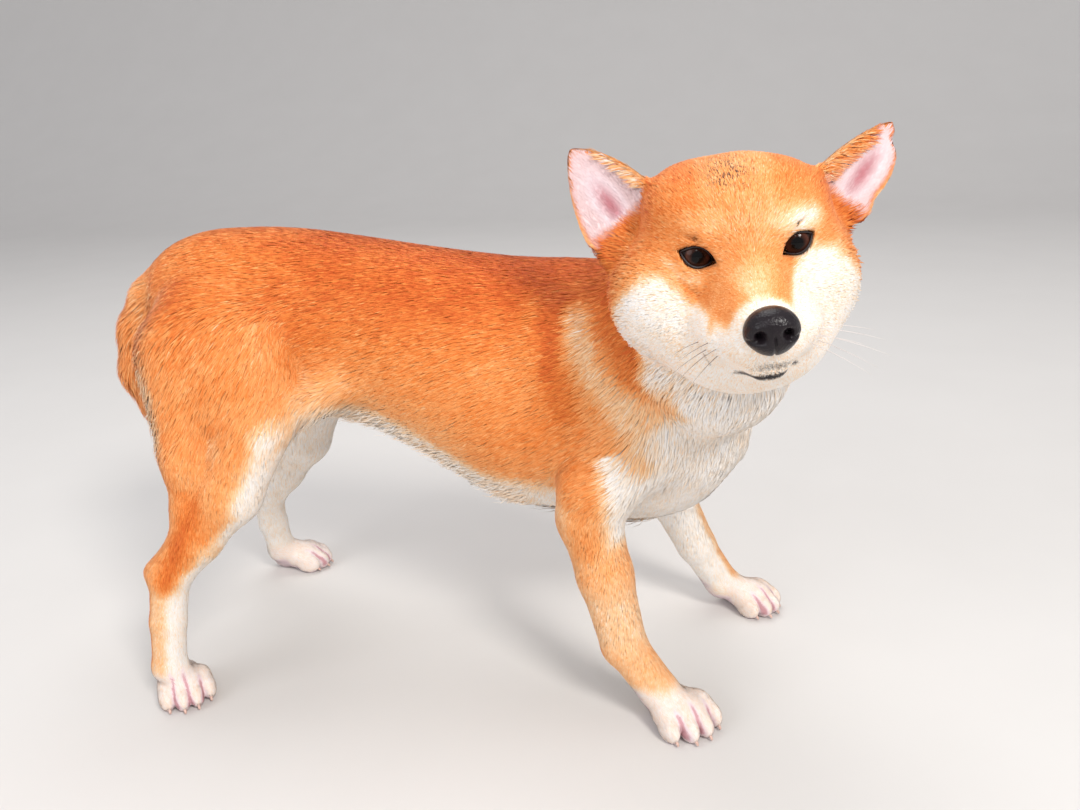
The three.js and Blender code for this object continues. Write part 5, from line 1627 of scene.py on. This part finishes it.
def nose_piece():
    """The nose pad as an egg, drawn in below, with the nostrils pressed in."""
    rings = []
    for angle in np.linspace(0, math.pi * NOSE["reach"], NOSE["rings"]):
        ring = ball_ring(angle, NOSE["sides"])
        x, y, z = ring.T
        shape = ring * NOSE["radii"]
        shape[:, 1] *= 1 - NOSE["taper"] * rise(-z, 0.1, 0.95)
        shape[:, 0] += NOSE["brow"] * rise(z, 0.1, 0.9) * (x > 0)
        for s in SIDES.values():
            pit = np.exp(-((y - 0.47 * s) / 0.17) ** 2 - ((z + 0.02) / 0.2) ** 2)
            slit = np.exp(-((y - 0.80 * s) / 0.24) ** 2 - ((z + 0.22) / 0.075) ** 2)
            wing = np.exp(-((y - 0.58 * s) / 0.24) ** 2 - ((z - 0.32) / 0.2) ** 2)
            pressed = NOSE["pit"] * pit + NOSE["slit"] * slit - NOSE["wing"] * wing
            shape -= pressed[:, None] * vec(1, 0, 0) * (ring[:, :1] > 0)
        groove = np.exp(-(y / 0.05) ** 2) * rise(-z, -0.2, 0.15)
        shape -= (NOSE["groove"] * groove)[:, None] * ring
        rings.append(from_head(NOSE["at"] + shape))
    rings[0] = rings[0][:1]
    return ring_surface("nose_pad", rings)


nose = nose_piece()
nose.data.materials.append(leather("nose_leather", *NOSE_COLOURS, 0.3, 800, 0.26))
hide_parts("nose")

# Claws

CLAW = {
    "length": 9, "radius": 2.7, "tip": 1.2, "sink": 6, "lift": 7, "drop": 4,
    "flat": 0.8, "point": (0.6, 0.3), "sides": 12, "steps": 9,
}
CLAW_COLOURS = ((0.50, 0.28, 0.22, 1), (0.72, 0.52, 0.44, 1))


def claws():
    points, quads, tips = [], [], []
    sides = CLAW["sides"]
    on, down = CLAW["point"]
    for paw in PAWS.values():
        _, _, spot = paw_frame(paw)
        for toe in TOES:
            forward, across = toe_place(paw, toe)
            start = forward + 10 - CLAW["sink"]
            quads += wall(len(points), CLAW["steps"], sides)
            for t in np.linspace(0, 1, CLAW["steps"]):
                radius = mix(CLAW["radius"], CLAW["tip"], t ** 1.4)
                height = CLAW["lift"] - CLAW["drop"] * t * t
                for angle in [k * 2 * math.pi / sides for k in range(sides)]:
                    aside = across + CLAW["flat"] * radius * math.cos(angle)
                    up = height + radius * math.sin(angle)
                    points.append(spot(start + CLAW["length"] * t, aside, up))
            end = len(points)
            points.append(spot(start + CLAW["length"] + on, across, CLAW["lift"] - CLAW["drop"] - down))
            tips += [(end - sides + k, end - sides + (k + 1) % sides, end) for k in range(sides)]
    return mesh_object("claws", np.array(points), np.array(quads), np.array(tips))


claw = claws()
claw.data.materials.append(mottled("claw_horn", *CLAW_COLOURS, 300, 0.35))

# Floor, light and camera, in metres

FLOOR = {"half": 9.0, "front": -6.0, "bend": 3.0, "radius": 2.0, "top": 7.0, "steps": 16}
FLOOR_COLOURS = ((0.62, 0.60, 0.58, 1), (0.65, 0.63, 0.61, 1))
# Name, place, target, size, power and colour
LIGHTS = (
    ("key", (1.7, -1.9, 2.3), (0.05, -0.05, 0.25), 0.9, 72, (1.0, 0.97, 0.93)),
    ("fill", (-1.9, -2.0, 1.5), (0, 0, 0.25), 2.0, 28, (0.95, 0.97, 1.0)),
    ("top", (-0.3, 0.9, 2.8), (0, 0, 0.3), 2.0, 30, (1, 1, 1)),
    ("catch", (0.27, -0.72, 0.86), (0.24, -0.1, 0.39), 0.08, 0.7, (1, 1, 1)),
)
SKY = {"colour": (0.95, 0.96, 1.0, 1), "strength": 0.68}
# The photo's camera, in the dog's frame in millimetres: the rows are to the right, down and forward
SENSOR = 36
FOCAL_SHARE = 931.09 / 1080
CAMERA_AT = vec(237.6, -728.6, 484.3)
CAMERA_AXES = np.array([
    (0.9778, 0.2035, -0.0501), (0.018, -0.3195, -0.9474), (-0.2088, 0.9255, -0.3161),
])


def floor():
    """A floor that curves up into a backdrop behind the dog."""
    half, bend, radius = FLOOR["half"], FLOOR["bend"], FLOOR["radius"]
    turns = np.linspace(0.1, math.pi / 2, FLOOR["steps"])
    curve = [(bend + radius * math.sin(a), radius - radius * math.cos(a)) for a in turns]
    profile = [(FLOOR["front"], 0.0), (bend, 0.0), *curve, (bend + radius, FLOOR["top"])]
    points = [(x, y, z) for y, z in profile for x in (-half, half)]
    faces = [(2 * i, 2 * i + 1, 2 * i + 3, 2 * i + 2) for i in range(len(profile) - 1)]
    mesh = bpy.data.meshes.new("floor")
    mesh.from_pydata(points, [], faces)
    mesh.polygons.foreach_set("use_smooth", [True] * len(faces))
    mesh.materials.append(mottled("floor", *FLOOR_COLOURS, 6, 0.7))
    obj = in_scene("floor", mesh)


def placed(obj, at, right, up, forward):
    """Turns an object that looks along its own -Z, as lights and cameras do."""
    matrix = Matrix.Identity(4)
    for axis, column in enumerate((right, up, -forward)):
        for row in range(3):
            matrix[row][axis] = column[row]
    matrix.translation = at
    obj.matrix_world = matrix


def area_light(name, place, target, size, power, colour):
    data = bpy.data.lights.new(name, "AREA")
    data.shape = "DISK"
    data.size = size
    data.energy = power
    data.color = colour
    forward = unit(np.subtract(target, place))
    side = unit(np.cross(forward, (0, 0, 1)))
    placed(in_scene(name, data), place, side, np.cross(side, forward), forward)


def sky():
    world = bpy.data.worlds.new("studio")
    bpy.context.scene.world = world
    world.use_nodes = True
    background = world.node_tree.nodes["Background"]
    background.inputs["Color"].default_value = SKY["colour"]
    background.inputs["Strength"].default_value = SKY["strength"]


def camera():
    data = bpy.data.cameras.new("camera")
    data.sensor_width = SENSOR
    data.lens = FOCAL_SHARE * SENSOR
    data.clip_start = 0.01
    obj = in_scene("camera", data)
    right, down, forward = CAMERA_AXES
    placed(obj, to_row(CAMERA_AT), right, -down, forward)
    bpy.context.scene.camera = obj


floor()
for light in LIGHTS:
    area_light(*light)
sky()
bpy.context.scene.view_settings.view_transform = "Standard"
camera()
